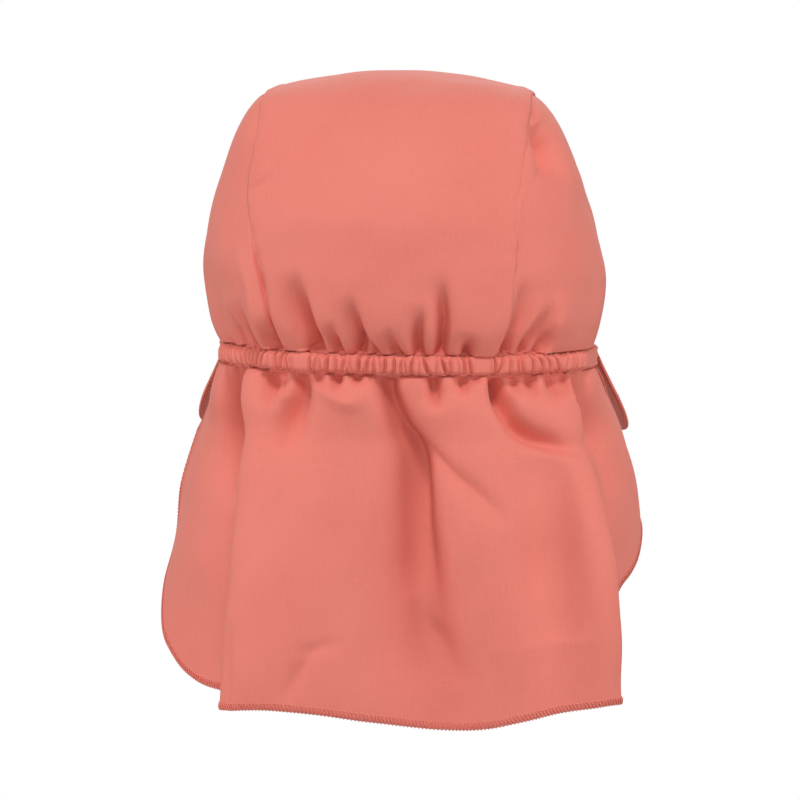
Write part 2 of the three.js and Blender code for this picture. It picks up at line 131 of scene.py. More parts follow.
def ruche_depth(angle, level, width):
    """How deep the ruches are at an angle and a level from -1 to 1: from 0 up to 1."""
    deepest = np.zeros(np.broadcast(angle, level).shape)
    for ruche in RUCHES:
        line = ruche["angle"] + ruche["slant"] * level + ruche["bow"] * (level**2 - 0.3)
        reach = smooth_step(-0.2, 1.0, ruche["edge"] * level) if ruche["edge"] else 1
        apart = np.hypot((angle - line) * BAND_STEP, 0.12) - 0.12
        deepest = np.maximum(deepest, ruche["depth"] * reach * np.exp(-apart / width))
    return deepest


def ruched_at(angle):
    """1 where the casing is ruched, 0 where it lies flat."""
    ruched = np.zeros(np.shape(angle))
    for run in RUCHE_RUNS:
        inside = smooth_step(run["start"] + 1.2, run["start"] - 0.2, angle)
        ruched = ruched + inside * smooth_step(run["end"] - 1.2, run["end"] + 0.2, angle)
    return ruched


def mesh_piece(name, points, faces, material, flat=None):
    """A smooth mesh whose faces point outwards, with its place on the flat cloth as a UV map."""
    corners = points[faces[:, :3]]
    volume = np.einsum("ij,ij->i", corners[:, 0], np.cross(corners[:, 1], corners[:, 2])).sum()
    faces = faces if volume > 0 else faces[:, ::-1]
    mesh = bpy.data.meshes.new(name)
    mesh.from_pydata((points * MM).tolist(), [], faces.tolist())
    mesh.shade_smooth()
    if flat is not None:
        layer = mesh.uv_layers.new(name="cloth")
        layer.data.foreach_set("uv", flat[faces.ravel()].astype(np.float32).ravel())
    mesh.materials.append(material)
    piece = bpy.data.objects.new(name, mesh)
    bpy.context.scene.collection.objects.link(piece)
    return piece


def cloth_lengths(grid):
    """Each point's place on the cloth laid flat, in centimetres, from its steps along the grid."""
    along_rows = np.linalg.norm(np.diff(grid, axis=0), axis=-1)
    along_columns = np.linalg.norm(np.diff(grid, axis=1), axis=-1)
    down = np.pad(np.cumsum(along_rows.mean(axis=1)), (1, 0))
    across = np.pad(np.cumsum(along_columns.mean(axis=0)), (1, 0))
    return np.stack(np.meshgrid(across, down), -1) / 10


def tube_faces(rings, sides):
    """The faces of a tube of rings, each end closed by strips from side to side."""
    ring, side = np.meshgrid(np.arange(rings - 1), np.arange(sides), indexing="ij")
    start = (ring * sides + side).ravel()
    beside = (ring * sides + (side + 1) % sides).ravel()
    walls = np.stack([start, beside, beside + sides, start + sides], -1)
    low = np.arange(sides // 2 - 1)
    cap = np.stack([low, low + 1, sides - 2 - low, sides - 1 - low], -1)
    return np.concatenate([walls, cap[:, ::-1], cap + (rings - 1) * sides])


def woven_cloth(name, colour, sheen=0.08):
    """Thin plain-woven cotton: fine threads both ways, slubs in the yarn and a soft sheen."""
    weave_period, slub_length, slub_width, patch = 0.46, 7.0, 0.5, 38.0
    material = bpy.data.materials.new(name)
    material.use_nodes = True
    nodes, links = material.node_tree.nodes, material.node_tree.links
    shader = nodes["Principled BSDF"]
    place = nodes.new("ShaderNodeUVMap")
    place.uv_map = "cloth"

    def scaled(across, down):
        """The place on the cloth, in repeats of a size in millimetres."""
        scale = nodes.new("ShaderNodeVectorMath")
        scale.operation = "MULTIPLY"
        scale.inputs[1].default_value = (10 / across, 10 / down, 0)
        links.new(place.outputs["UV"], scale.inputs[0])
        return scale.outputs[0]

    def calculated(operation, *values):
        node = nodes.new("ShaderNodeMath")
        node.operation = operation
        for socket, value in zip(node.inputs, values):
            if isinstance(value, (int, float)):
                socket.default_value = value
            else:
                links.new(value, socket)
        return node.outputs[0]

    def noise(vector, detail, roughness=0.5):
        texture = nodes.new("ShaderNodeTexNoise")
        texture.noise_dimensions = "2D"
        texture.inputs["Scale"].default_value = 1
        texture.inputs["Detail"].default_value = detail
        texture.inputs["Roughness"].default_value = roughness
        links.new(vector, texture.inputs["Vector"])
        return texture.outputs["Fac"]

    parts = nodes.new("ShaderNodeSeparateXYZ")
    links.new(scaled(weave_period, weave_period), parts.inputs[0])
    warp = calculated("SINE", calculated("MULTIPLY", parts.outputs["X"], 2 * math.pi))
    weft = calculated("SINE", calculated("MULTIPLY", parts.outputs["Y"], 2 * math.pi))
    weft_slubs = noise(scaled(slub_length, slub_width), 2)
    warp_slubs = noise(scaled(slub_width, slub_length), 2)
    slubs = calculated("ADD", weft_slubs, warp_slubs)
    mottle = noise(scaled(patch, patch), 3)
    shade = calculated("MULTIPLY_ADD", slubs, 0.5, calculated("MULTIPLY", mottle, 0.6))
    ramp = nodes.new("ShaderNodeValToRGB")
    ramp.color_ramp.elements[0].position = 0.45
    ramp.color_ramp.elements[1].position = 0.9
    ramp.color_ramp.elements[0].color = (*(c * f for c, f in zip(colour, (0.97, 0.93, 0.92))), 1)
    ramp.color_ramp.elements[1].color = (*(c * f for c, f in zip(colour, (1.03, 1.06, 1.07))), 1)
    links.new(shade, ramp.inputs[0])
    links.new(ramp.outputs["Color"], shader.inputs["Base Color"])
    rough = calculated("MULTIPLY_ADD", weft_slubs, 0.2, 0.62)
    links.new(rough, shader.inputs["Roughness"])
    weave = calculated("MULTIPLY", warp, weft)
    height = calculated("MULTIPLY_ADD", weave, 0.02, slubs)
    relief = nodes.new("ShaderNodeBump")
    relief.inputs["Strength"].default_value = 0.1
    relief.inputs["Distance"].default_value = 0.1 * MM
    links.new(height, relief.inputs["Height"])
    links.new(relief.outputs["Normal"], shader.inputs["Normal"])
    shader.inputs["Specular IOR Level"].default_value = 0.3
    shader.inputs["Sheen Weight"].default_value = sheen
    shader.inputs["Sheen Roughness"].default_value = 0.4
    shader.inputs["Sheen Tint"].default_value = (1.0, 0.86, 0.8, 1)
    return material


def casing_face(angle, level):
    """Places on the casing's outer face, at levels from its lower edge (-1) to its upper (1)."""
    ruched = ruched_at(angle)
    depth = ruche_depth(angle, level, RUCHE_WIDTH) * ruched
    fullness = (1 - np.abs(level) ** 4) ** 0.7
    puff = RUCHE_PUFF * fullness * ruched * (1 - 1.9 * depth)
    groove = 0.3 * bump(np.abs(level) - STITCH_LEVEL, 0.12)
    outside = CASING_DEPTH * (1 - np.abs(level) ** 5) ** 0.55 + puff - groove
    uneven = 0.35 * np.sin(angle * 1.7) * np.sin(angle * 0.63 + 1) * ruched
    height = level * (BAND_HEIGHT / 2 - 0.35 * ruche_depth(angle, level, 1.0) * ruched) + uneven
    return band_point(angle, outside, height)


def nape_casing():
    angle = np.linspace(-CASING_END, CASING_END, CASING_COLUMNS + 1)[:, None]
    outer = casing_face(angle, np.sin(np.linspace(-90, 90, CASING_OUTSIDE) * math.pi / 180)[None, :])
    inner_level = np.linspace(0.9, -0.9, CASING_INSIDE)[None, :]
    inner_depth = -CASING_DEPTH * (1 - np.abs(inner_level) ** 5) ** 0.55
    inner = band_point(angle, inner_depth + 0 * angle, inner_level * BAND_HEIGHT / 2)
    rings = np.concatenate([outer, inner], axis=1)
    faces = tube_faces(*rings.shape[:2])
    flat = cloth_lengths(rings).reshape(-1, 2)
    cotton = woven_cloth("casing cotton", COTTON_CORAL)
    return mesh_piece("nape_casing_cloth", rings.reshape(-1, 3), faces, cotton, flat)


casing = nape_casing()
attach(casing, "root")
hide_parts("nape_casing")


# Brow band: a plain folded strip of the same cloth that carries the crown and the peak round
# the forehead. It is one rounded section led along the band's line, so nodes make it.
BROW_DEPTH = 2.6
BROW_CORNER = 0.9
BROW_START = CASING_END + 0.25
BROW_POINTS = 200


def making_tree(name, line_name, sizes):
    """A node tree whose named inputs are a line to follow, its sizes and its material."""
    tree = bpy.data.node_groups.new(name, "GeometryNodeTree")
    face = tree.interface
    face.new_socket(line_name, in_out="INPUT", socket_type="NodeSocketGeometry")
    for size in sizes:
        face.new_socket(size, in_out="INPUT", socket_type="NodeSocketFloat")
    face.new_socket("Material", in_out="INPUT", socket_type="NodeSocketMaterial")
    face.new_socket("Made", in_out="OUTPUT", socket_type="NodeSocketGeometry")
    return tree, tree.nodes.new("NodeGroupInput").outputs


def add_node(tree, kind, settings=None, **values):
    """A node with its settings, and its sockets set or linked by name."""
    node = tree.nodes.new(kind)
    for name, value in (settings or {}).items():
        setattr(node, name, value)
    for name, value in values.items():
        socket = node.inputs[name.replace("_", " ")]
        if isinstance(value, bpy.types.NodeSocket):
            tree.links.new(value, socket)
        else:
            socket.default_value = value
    return node


def vector_of(tree, x, y, z):
    return add_node(tree, "ShaderNodeCombineXYZ", X=x, Y=y, Z=z).outputs[0]


def product(tree, value, factor):
    node = tree.nodes.new("ShaderNodeMath")
    node.operation = "MULTIPLY"
    tree.links.new(value, node.inputs[0])
    node.inputs[1].default_value = factor
    return node.outputs[0]


def end_tree(tree, geometry, material):
    """Realizes what the tree made, gives it its material and ends the tree."""
    whole = add_node(tree, "GeometryNodeRealizeInstances", Geometry=geometry)
    dressed = add_node(tree, "GeometryNodeSetMaterial", Geometry=whole.outputs[0], Material=material)
    end = tree.nodes.new("NodeGroupOutput")
    tree.links.new(dressed.outputs[0], end.inputs[0])


def made_by_nodes(name, tree, lines, values, material, normals=()):
    """Runs a tree on lines of places and keeps the result as a plain mesh."""
    mesh = bpy.data.meshes.new(name)
    ends = np.cumsum([len(line) for line in lines])
    steps = [(i, i + 1) for i in range(ends[-1] - 1) if i + 1 not in ends]
    mesh.from_pydata((np.concatenate(lines) * MM).tolist(), steps, [])
    if len(normals):
        layer = mesh.attributes.new("outward", "FLOAT_VECTOR", "POINT")
        layer.data.foreach_set("vector", np.concatenate(normals).astype(np.float32).ravel())
    piece = bpy.data.objects.new(name, mesh)
    bpy.context.scene.collection.objects.link(piece)
    modifier = piece.modifiers.new("making", "NODES")
    modifier.node_group = tree
    for socket in tree.interface.items_tree:
        if socket.in_out == "INPUT" and socket.socket_type == "NodeSocketFloat":
            modifier[socket.identifier] = values[socket.name] * MM
        elif socket.in_out == "INPUT" and socket.socket_type == "NodeSocketMaterial":
            modifier[socket.identifier] = material
    graph = bpy.context.evaluated_depsgraph_get()
    made = bpy.data.meshes.new_from_object(piece.evaluated_get(graph), depsgraph=graph)
    piece.modifiers.clear()
    piece.data = made
    made.shade_smooth()
    return piece


def brow_band_tree():
    tree, given = making_tree("brow band", "Band Line", ["Band Height", "Band Depth", "Corner Radius"])
    line = add_node(tree, "GeometryNodeMeshToCurve", Mesh=given["Band Line"])
    upright = add_node(tree, "GeometryNodeSetCurveNormal", {"mode": "Z_UP"}, Curve=line.outputs[0])
    section = add_node(tree, "GeometryNodeCurvePrimitiveQuadrilateral",
                       Width=given["Band Depth"], Height=given["Band Height"])
    rounded = add_node(tree, "GeometryNodeFilletCurve", {"mode": "POLY"}, Curve=section.outputs[0],
                       Radius=given["Corner Radius"], Count=4)
    lengths = []
    for curve in (upright, rounded):
        captured = tree.nodes.new("GeometryNodeCaptureAttribute")
        captured.capture_items.new("FLOAT", "Length")
        tree.links.new(curve.outputs[0], captured.inputs["Geometry"])
        parameter = tree.nodes.new("GeometryNodeSplineParameter")
        tree.links.new(parameter.outputs["Length"], captured.inputs["Length"])
        lengths.append(captured)
    band = add_node(tree, "GeometryNodeCurveToMesh", Curve=lengths[0].outputs["Geometry"],
                    Profile_Curve=lengths[1].outputs["Geometry"], Fill_Caps=True)
    centimetres = [product(tree, captured.outputs["Length"], 100) for captured in lengths]
    mapped = add_node(tree, "GeometryNodeStoreNamedAttribute",
                      {"data_type": "FLOAT2", "domain": "CORNER"}, Geometry=band.outputs[0], Name="cloth")
    place = vector_of(tree, *centimetres, 0)
    tree.links.new(place, next(s for s in mapped.inputs if s.name == "Value" and s.enabled))
    end_tree(tree, mapped.outputs[0], given["Material"])
    return tree


brow_angle = np.linspace(BROW_START, 360 - BROW_START, BROW_POINTS)
brow_band = made_by_nodes(
    "brow_band_cloth", brow_band_tree(), [band_point(brow_angle)],
    {"Band Height": BAND_HEIGHT, "Band Depth": BROW_DEPTH, "Corner Radius": BROW_CORNER},
    woven_cloth("band cotton", COTTON_CORAL))
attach(brow_band, "root")
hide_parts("brow_band")


# Centre panel of the crown: one strip of single cloth from the nape over the top to the
# forehead. Its long edges are turned under and lapped over the side panels, and the casing
# gathers its nape end into folds.
CROWN_THICKNESS = 0.7
CROWN_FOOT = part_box("crown_centre_panel")[0].z / MM
CROWN_TOP = 112.0
CROWN_LEAN = 4.6
CROWN_LEVELS = [
    {"height": 0, "width": 73.2, "back": 85, "front": 85.5, "square": 2.0},
    {"height": 4.2, "width": 73.6, "back": 85.6, "front": 86, "square": 2.0},
    {"height": 14, "width": 76.4, "back": 91, "front": 88, "square": 2.05},
    {"height": 32, "width": 79.6, "back": 96, "front": 90, "square": 2.12},
    {"height": 50, "width": 77, "back": 95, "front": 89, "square": 2.2},
    {"height": 70, "width": 70.8, "back": 88.5, "front": 84, "square": 2.35},
    {"height": 90, "width": 63.2, "back": 74, "front": 68, "square": 2.7},
    {"height": 101, "width": 56, "back": 61, "front": 54, "square": 2.9},
    {"height": 106.5, "width": 47.5, "back": 48, "front": 42, "square": 2.7},
    {"height": 109.8, "width": 31, "back": 32, "front": 28, "square": 2.3},
    {"height": CROWN_TOP, "width": 0, "back": 0, "front": 0, "square": 2.2},
]
BACK_SEAM = [
    {"height": 0, "half": 37}, {"height": 5, "half": 39.5}, {"height": 12, "half": 43},
    {"height": 22, "half": 47}, {"height": 32, "half": 49.3}, {"height": 45, "half": 51.3},
    {"height": 70, "half": 52.5}, {"height": 95, "half": 52.2}, {"height": CROWN_TOP, "half": 52.6},
]
FRONT_SEAM = [
    {"height": 0, "half": 44}, {"height": 30, "half": 49}, {"height": 60, "half": 51.6},
    {"height": 90, "half": 52.3}, {"height": CROWN_TOP, "half": 52.6},
]
# The folds that show from behind, each along a path of places (to the wearer's left, up). A
# positive depth draws the cloth in and a negative one stands it up. Folds from the casing
# fade upwards, free ones fade at both ends, and a sharp one has a narrow bottom.
CROWN_FOLDS = [
    {"name": "left main", "depth": 11.5, "width": 3.4, "sharp": 0.3, "skew": 0.5, "end": "casing",
     "path": [(27.4, 3), (30, 11), (32.6, 16.3), (36.5, 25), (40, 37)]},
    {"name": "left short", "depth": 6.9, "width": 2.5, "sharp": 0.3, "skew": 0.5, "end": "casing",
     "path": [(18.6, 3), (21.2, 8.6), (24.5, 18)]},
    {"name": "left tack", "depth": 3.2, "width": 1.4, "sharp": 0.4, "skew": 0, "end": "casing",
     "path": [(31.8, 3), (31.5, 8)]},
    {"name": "left middle", "depth": 8.3, "width": 2.8, "sharp": 0.2, "skew": 0.4, "end": "casing",
     "path": [(12.6, 3), (12.6, 12), (18.6, 28)]},
    {"name": "left middle branch", "depth": 4.8, "width": 2, "sharp": 0.3, "skew": 0.5, "end": "casing",
     "path": [(5, 3), (8, 8), (13, 16)]},
    {"name": "middle", "depth": 4.8, "width": 2.7, "sharp": 0.3, "skew": 0.5, "end": "casing",
     "path": [(-3.4, 3), (-0.5, 8), (4.5, 16)]},
    {"name": "right middle", "depth": 7.4, "width": 2.5, "sharp": 0.3, "skew": 0.4, "end": "casing",
     "path": [(-9.6, 3), (-8.7, 11.8), (-9.9, 25)]},
    {"name": "right tall", "depth": 8.8, "width": 2.7, "sharp": 0.3, "skew": 0.4, "end": "casing",
     "path": [(-16.3, 3), (-17.8, 12), (-18.2, 20), (-16.7, 37)]},
    {"name": "right twin", "depth": 2.4, "width": 1.6, "sharp": 0.4, "skew": 0, "end": "casing",
     "path": [(-20.2, 3), (-20.6, 7)]},
    {"name": "right short", "depth": 6, "width": 2.3, "sharp": 0.3, "skew": 0.2, "end": "casing",
     "path": [(-25.4, 3), (-26.6, 15)]},
    {"name": "right seam", "depth": 7.4, "width": 3, "sharp": 0.3, "skew": -0.5, "end": "casing",
     "path": [(-37.2, 3), (-40, 9.7), (-43.8, 17.5), (-47.4, 27), (-49, 36)]},
    {"name": "right outer", "depth": 7.1, "width": 2.2, "sharp": 0.4, "skew": -0.3, "end": "casing",
     "path": [(-44.8, 3), (-46.6, 8), (-50.5, 13), (-60, 25)]},
    {"name": "right side", "depth": 5.5, "width": 2.2, "sharp": 0.3, "skew": -0.2, "end": "casing",
     "path": [(-49.6, 3), (-53, 9), (-59, 17)]},
    {"name": "right side ridge", "depth": -1.8, "width": 3, "sharp": 0.3, "skew": 0, "end": "casing",
     "path": [(-53.6, 4), (-60.9, 20.8), (-68.1, 38.6)]},
    {"name": "left seam hollow", "depth": 5, "width": 2.4, "sharp": 0.3, "skew": 0.5, "end": "casing",
     "path": [(42.4, 3), (46.3, 10), (50, 19)]},
    {"name": "left side ridge", "depth": -1.8, "width": 2, "sharp": 0.4, "skew": 0, "end": "casing",
     "path": [(49.4, 4), (53.7, 16.4), (57.6, 27.5), (62.4, 41), (65, 51)]},
    {"name": "left side fold", "depth": 6.6, "width": 2.2, "sharp": 0.3, "skew": 0.4, "end": "casing",
     "path": [(52.4, 3), (57, 11), (62.5, 25)]},
    {"name": "left side short", "depth": 5, "width": 2, "sharp": 0.3, "skew": 0.4, "end": "casing",
     "path": [(57.6, 3), (61, 9), (67, 21)]},
    {"name": "left outer fold", "depth": 2.7, "width": 2.3, "sharp": 0.3, "skew": 0.3, "end": "casing",
     "path": [(64.5, 3), (69, 14), (74, 30)]},
    {"name": "wrinkle at the left seam", "depth": 1.6, "width": 2.2, "sharp": 0.3, "skew": 0.2, "end": "free",
     "path": [(58.5, 62), (55, 65), (51.1, 68), (45.5, 75)]},
    {"name": "ridge over that wrinkle", "depth": -0.8, "width": 2.2, "sharp": 0.2, "skew": 0, "end": "free",
     "path": [(58.5, 66), (54.5, 69.5), (49.5, 75)]},
    {"name": "right dimple", "depth": 10.5, "width": 3, "sharp": 0.1, "skew": -0.2, "end": "free",
     "path": [(-49.4, 92), (-51, 86.5), (-53, 82), (-54.4, 77), (-54.8, 70)]},
    {"name": "left seam slit", "depth": 2.6, "width": 0.9, "sharp": 0.5, "skew": -0.3, "end": "casing",
     "path": [(43.4, 3), (47.8, 16), (52, 27.5), (54.9, 37.6), (57.7, 50), (58.8, 57), (59.4, 66)]},
    {"name": "right seam slit", "depth": 2, "width": 1, "sharp": 0.5, "skew": 0, "end": "free",
     "path": [(-49.4, 100.5), (-49, 97), (-48.6, 93), (-48, 86)]},
    {"name": "right shoulder ridge", "depth": -2.6, "width": 2, "sharp": 0.5, "skew": 0, "end": "free",
     "path": [(-55.2, 94), (-58, 87), (-62, 76.6), (-68.5, 61)]},
    {"name": "ridge across the top", "depth": -0.9, "width": 2.6, "sharp": 0.3, "skew": 0, "end": "free",
     "path": [(2, 109), (-14, 108), (-29.3, 106.2), (-48, 103.2)]},
]
STRIP_CENTRE = np.array([0.0, 0.0, 20.0])
SEAM_SHIFT = 3.2
SHIFT_LEVELS = (60, 96)
RAY_LENGTH = 160.0
HALVINGS = 28
SEAM_PASSES = 4
PANEL_COLUMNS = 118
PANEL_ROWS = 250
NAPE_CROWDING = 0.1
BROW_CROWDING = 0.02
FOOT_PITCHES = (-0.6, 0.2)
TUCK = 2.4
SEWN_RISE = 0.9
SEWN_SAG = 0.8
SEAM_ALLOWANCE = 6.0
RUFFLE_RISE = 4.5
SEWN_DEPTH = 1.0
DEPTH_GAIN = 4.2
PUFF = 2.8
PUFF_NEAR = 5.0
PUFF_FAR = 26.0
TOP_FALL = (1.5, 1.2)
SIDE_SWELL = 1.5
SWELL_LEVEL = 45.0
SWELL_REACH = 28.0


def table_curve(rows, key, column, power=1):
    """A monotone cubic through one column of a table."""
    places = np.array([row[key] for row in rows], float)
    values = np.array([row[column] for row in rows], float) ** power
    slopes = np.diff(values) / np.diff(places)
    turning = slopes[:-1] * slopes[1:] <= 0
    inner = 2 * slopes[:-1] * slopes[1:] / np.where(turning, 1, slopes[:-1] + slopes[1:])
    tangents = np.concatenate([slopes[:1], np.where(turning, 0, inner), slopes[-1:]])

    def value_at(place):
        place = np.clip(place, places[0], places[-1])
        i = np.clip(np.searchsorted(places, place, side="right") - 1, 0, len(places) - 2)
        span = places[i + 1] - places[i]
        t = (place - places[i]) / span
        rise = t * t * (3 - 2 * t)
        bend = span * t * (1 - t) * ((1 - t) * tangents[i] - t * tangents[i + 1])
        return values[i] * (1 - rise) + values[i + 1] * rise + bend

    return value_at


crown_width = table_curve(CROWN_LEVELS, "height", "width", 2)
crown_back = table_curve(CROWN_LEVELS, "height", "back", 2)
crown_front = table_curve(CROWN_LEVELS, "height", "front", 2)
crown_square = table_curve(CROWN_LEVELS, "height", "square")
back_seam = table_curve(BACK_SEAM, "height", "half")
front_seam = table_curve(FRONT_SEAM, "height", "half")


def crown_field(places):
    """Below zero inside the crown's form and above zero outside it."""
    x, y, z = np.moveaxis(places, -1, 0)
    half = np.sqrt(np.maximum(crown_width(z), 1e-6))
    reach = np.sqrt(np.maximum(np.where(y > 0, crown_back(z), crown_front(z)), 1e-6))
    power = crown_square(z)
    field = (np.abs(x) / half) ** power + (np.abs(y) / reach) ** power - 1
    return np.where(z >= CROWN_TOP, 1, field)


def crown_hit(origin, direction):
    """Where rays from inside meet the crown's form."""
    near = np.zeros(np.broadcast(origin[..., 0], direction[..., 0]).shape)
    far = near + RAY_LENGTH
    for _ in range(HALVINGS):
        middle = (near + far) / 2
        inside = crown_field(origin + direction * middle[..., None]) < 0
        near, far = np.where(inside, middle, near), np.where(inside, far, middle)
    return origin + direction * middle[..., None]


def seam_half(places):
    back = places[..., 1] > 0
    return np.where(back, back_seam(places[..., 2]), front_seam(places[..., 2]))


def strip_point(pitch, across):
    """Places of the strip at a pitch round its centre line, across from seam to seam (-1 to 1)."""
    pitch, across = np.broadcast_arrays(pitch, across)
    direction = np.stack([np.zeros(pitch.shape), np.cos(pitch), np.sin(pitch)], -1)
    place = crown_hit(STRIP_CENTRE, direction)
    for _ in range(SEAM_PASSES):
        start = np.zeros(place.shape) + STRIP_CENTRE
        shift = SEAM_SHIFT * (1 - smooth_step(*SHIFT_LEVELS, place[..., 2])) * (place[..., 1] > 0)
        start[..., 0] = seam_half(place) * across + shift
        place = crown_hit(start, direction)
    return place


def foot_pitch(across, side):
    """The pitch at which the strip comes down to the crown's foot, at the nape (1) or brow (-1)."""
    low, high = (np.full(np.shape(across), pitch) for pitch in FOOT_PITCHES)
    for _ in range(HALVINGS):
        middle = (low + high) / 2
        pitch = middle if side > 0 else math.pi - middle
        above = strip_point(pitch, across)[..., 2] > CROWN_FOOT
        low, high = np.where(above, low, middle), np.where(above, middle, high)
    return high if side > 0 else math.pi - high


def leaned(grid):
    """The soft crown leans to the wearer's left as it rises, and its top falls a little."""
    high = smooth_step(92, 107, grid[..., 2])
    fall = TOP_FALL[0] * smooth_step(8, 45, grid[..., 0]) + TOP_FALL[1] * smooth_step(-30, -50, grid[..., 0])
    lean = CROWN_LEAN * smooth_step(CROWN_FOOT, CROWN_TOP, grid[..., 2])
    grid[..., 0] += lean + SIDE_SWELL * bump(grid[..., 2] - SWELL_LEVEL, SWELL_REACH)
    grid[..., 2] -= fall * high
    return grid


def spline(points, place):
    """A centripetal curve through points, with its place given in steps between them."""
    points = np.asarray(points, float)
    ends = [2 * points[0] - points[1], 2 * points[-1] - points[-2]]
    held = np.concatenate([ends[:1], points, ends[1:]])
    i = np.clip(np.floor(place).astype(int), 0, len(points) - 2)
    t = (place - i)[..., None]
    before, start, end, after = (held[i + k] for k in range(4))
    first, step, last = (np.linalg.norm(b - a, axis=-1, keepdims=True) ** 0.5
                         for a, b in ((before, start), (start, end), (end, after)))
    leave = (start - before) / first - (end - before) / (first + step) + (end - start) / step
    arrive = (end - start) / step - (after - start) / (step + last) + (after - end) / last
    leave, arrive = leave * step, arrive * step
    curve = (2 * start - 2 * end + leave + arrive) * t**3
    return curve + (3 * end - 3 * start - 2 * leave - arrive) * t**2 + leave * t + start


def path_distance(places, path):
    """How far places are from a bent path, how far along it, and whether to the wearer's left."""
    line = spline(path, np.linspace(0, len(path) - 1, 8 * (len(path) - 1) + 1))
    steps = np.diff(line, axis=0)
    lengths = np.linalg.norm(steps, axis=1)
    passed = np.concatenate([[0], np.cumsum(lengths)])
    nearest, along = np.full(places.shape[:-1], np.inf), np.zeros(places.shape[:-1])
    leftwards = np.zeros(places.shape[:-1], bool)
    upwards = np.sign(line[-1, 1] - line[0, 1])
    for i, step in enumerate(steps):
        offset = places - line[i]
        share = np.clip(offset @ step / lengths[i] ** 2, 0, 1)
        apart = np.linalg.norm(offset - share[..., None] * step, axis=-1)
        closer = apart < nearest
        nearest = np.where(closer, apart, nearest)
        along = np.where(closer, (passed[i] + share * lengths[i]) / passed[-1], along)
        turn = offset[..., 0] * step[1] - offset[..., 1] * step[0]
        leftwards = np.where(closer, turn * upwards > 0, leftwards)
    return nearest, along, leftwards


def fold_depth(grid, folds, foot):
    """How far a table's folds draw the cloth in, which its sewn foot holds back."""
    places = grid[..., [0, 2]]
    depth = np.zeros(grid.shape[:-1])
    for fold in folds:
        apart, along, leftwards = path_distance(places, fold["path"])
        steeper = np.where(leftwards, 1 + fold["skew"], 1 - fold["skew"])
        width = fold["width"] * (0.75 + 0.7 * along) * steeper
        narrow = np.exp(-(np.hypot(apart, 0.5) - 0.5) / (0.8 * width))
        line = fold["sharp"] * narrow + (1 - fold["sharp"]) * bump(apart, width)
        if fold["end"] == "casing":
            fade = 1 - smooth_step(0.35, 1, along)
        else:
            fade = np.sin(math.pi * along) ** 0.8
        depth = depth + fold["depth"] * line * fade
    depth = depth * smooth_step(-5, 15, grid[..., 1])
    deepest = SEWN_DEPTH + DEPTH_GAIN * np.abs(grid[..., 2] - foot)
    return np.where(depth > 0, depth / (1 + (np.abs(depth) / deepest) ** 4) ** 0.25, depth)


def soft_waves(grid, size, seed):
    """Smooth uneven waves of about a size in millimetres, mostly between -1 and 1."""
    chance = np.random.default_rng(seed)
    heading = chance.normal(size=(12, 3))
    heading *= 2 * math.pi / size / np.linalg.norm(heading, axis=1, keepdims=True)
    heading *= chance.uniform(0.6, 1.4, (12, 1))
    return np.sin(grid @ heading.T + chance.uniform(0, 2 * math.pi, 12)).sum(axis=-1) / 12**0.5


def ruffle_depth(grid, foot, depth):
    """The small ruffles that the ruched casing sets in the cloth sewn to its edge."""
    angle = band_angle(grid)
    above = np.abs(grid[..., 2] - foot)
    level = 1.0 if foot > 0 else -1.0
    waves = ruche_depth(angle, level, 1.1 + 0.15 * above.clip(0, 8)) * ruched_at(angle)
    return depth * waves * np.exp(-above / RUFFLE_RISE)


def puffed(grid, foot):
    """How far gathered cloth swells out beside the casing that it is sewn into."""
    away = np.abs(grid[..., 2] - foot)
    swell = 0.85 * smooth_step(0, SEWN_RISE, away) + 0.15 * smooth_step(SEWN_RISE, PUFF_NEAR, away)
    swell = swell * (1 - smooth_step(2 * PUFF_NEAR, PUFF_FAR, away))
    return PUFF * swell * smooth_step(0, 30, grid[..., 1])


def outward(grid):
    """The unit normals of a grid whose rows run down and columns to the wearer's right."""
    normals = np.cross(np.gradient(grid, axis=0), np.gradient(grid, axis=1))
    return normals / np.linalg.norm(normals, axis=-1, keepdims=True)


def gathered(grid, folds, foot, ruffle):
    """The steps by which the cloth swells outwards and sags, and its folds and ruffles draw in."""
    out = outward(grid)
    step = out + np.array([0, 1, 0]) * smooth_step(-5, 15, grid[..., 1])[..., None]
    step /= np.linalg.norm(step, axis=-1, keepdims=True)
    depth = fold_depth(grid, folds, foot) + ruffle_depth(grid, foot, ruffle)
    away = np.abs(grid[..., 2] - foot)
    sag = SEWN_SAG * smooth_step(0.2, 1.6, away) * (1 - smooth_step(3, 14, away))
    to_casing = np.stack([0 * sag, 0 * sag, -math.copysign(1, foot) * sag], -1)
    return to_casing + out * puffed(grid, foot)[..., None] - step * depth[..., None]


def cloth_piece(name, grid, thickness, material):
    """A wall of cloth behind a grid of places on its outer face, closed round its edges."""
    rows, columns = grid.shape[:2]
    inner = grid - outward(grid) * np.broadcast_to(thickness, (rows, columns))[..., None]
    points = np.concatenate([grid.reshape(-1, 3), inner.reshape(-1, 3)])
    index = np.arange(rows * columns).reshape(rows, columns)
    quads = np.stack([index[:-1, :-1], index[1:, :-1], index[1:, 1:], index[:-1, 1:]], -1).reshape(-1, 4)
    rim = np.concatenate([index[0, :], index[1:, -1], index[-1, -2::-1], index[-2:0:-1, 0]])
    beside = np.roll(rim, -1)
    behind = rows * columns
    edge = np.stack([rim, beside, beside + behind, rim + behind], -1)
    faces = np.concatenate([quads, quads[:, ::-1] + behind, edge])
    flat = np.tile(cloth_lengths(grid).reshape(-1, 2), (2, 1))
    return mesh_piece(name, points, faces, material, flat)


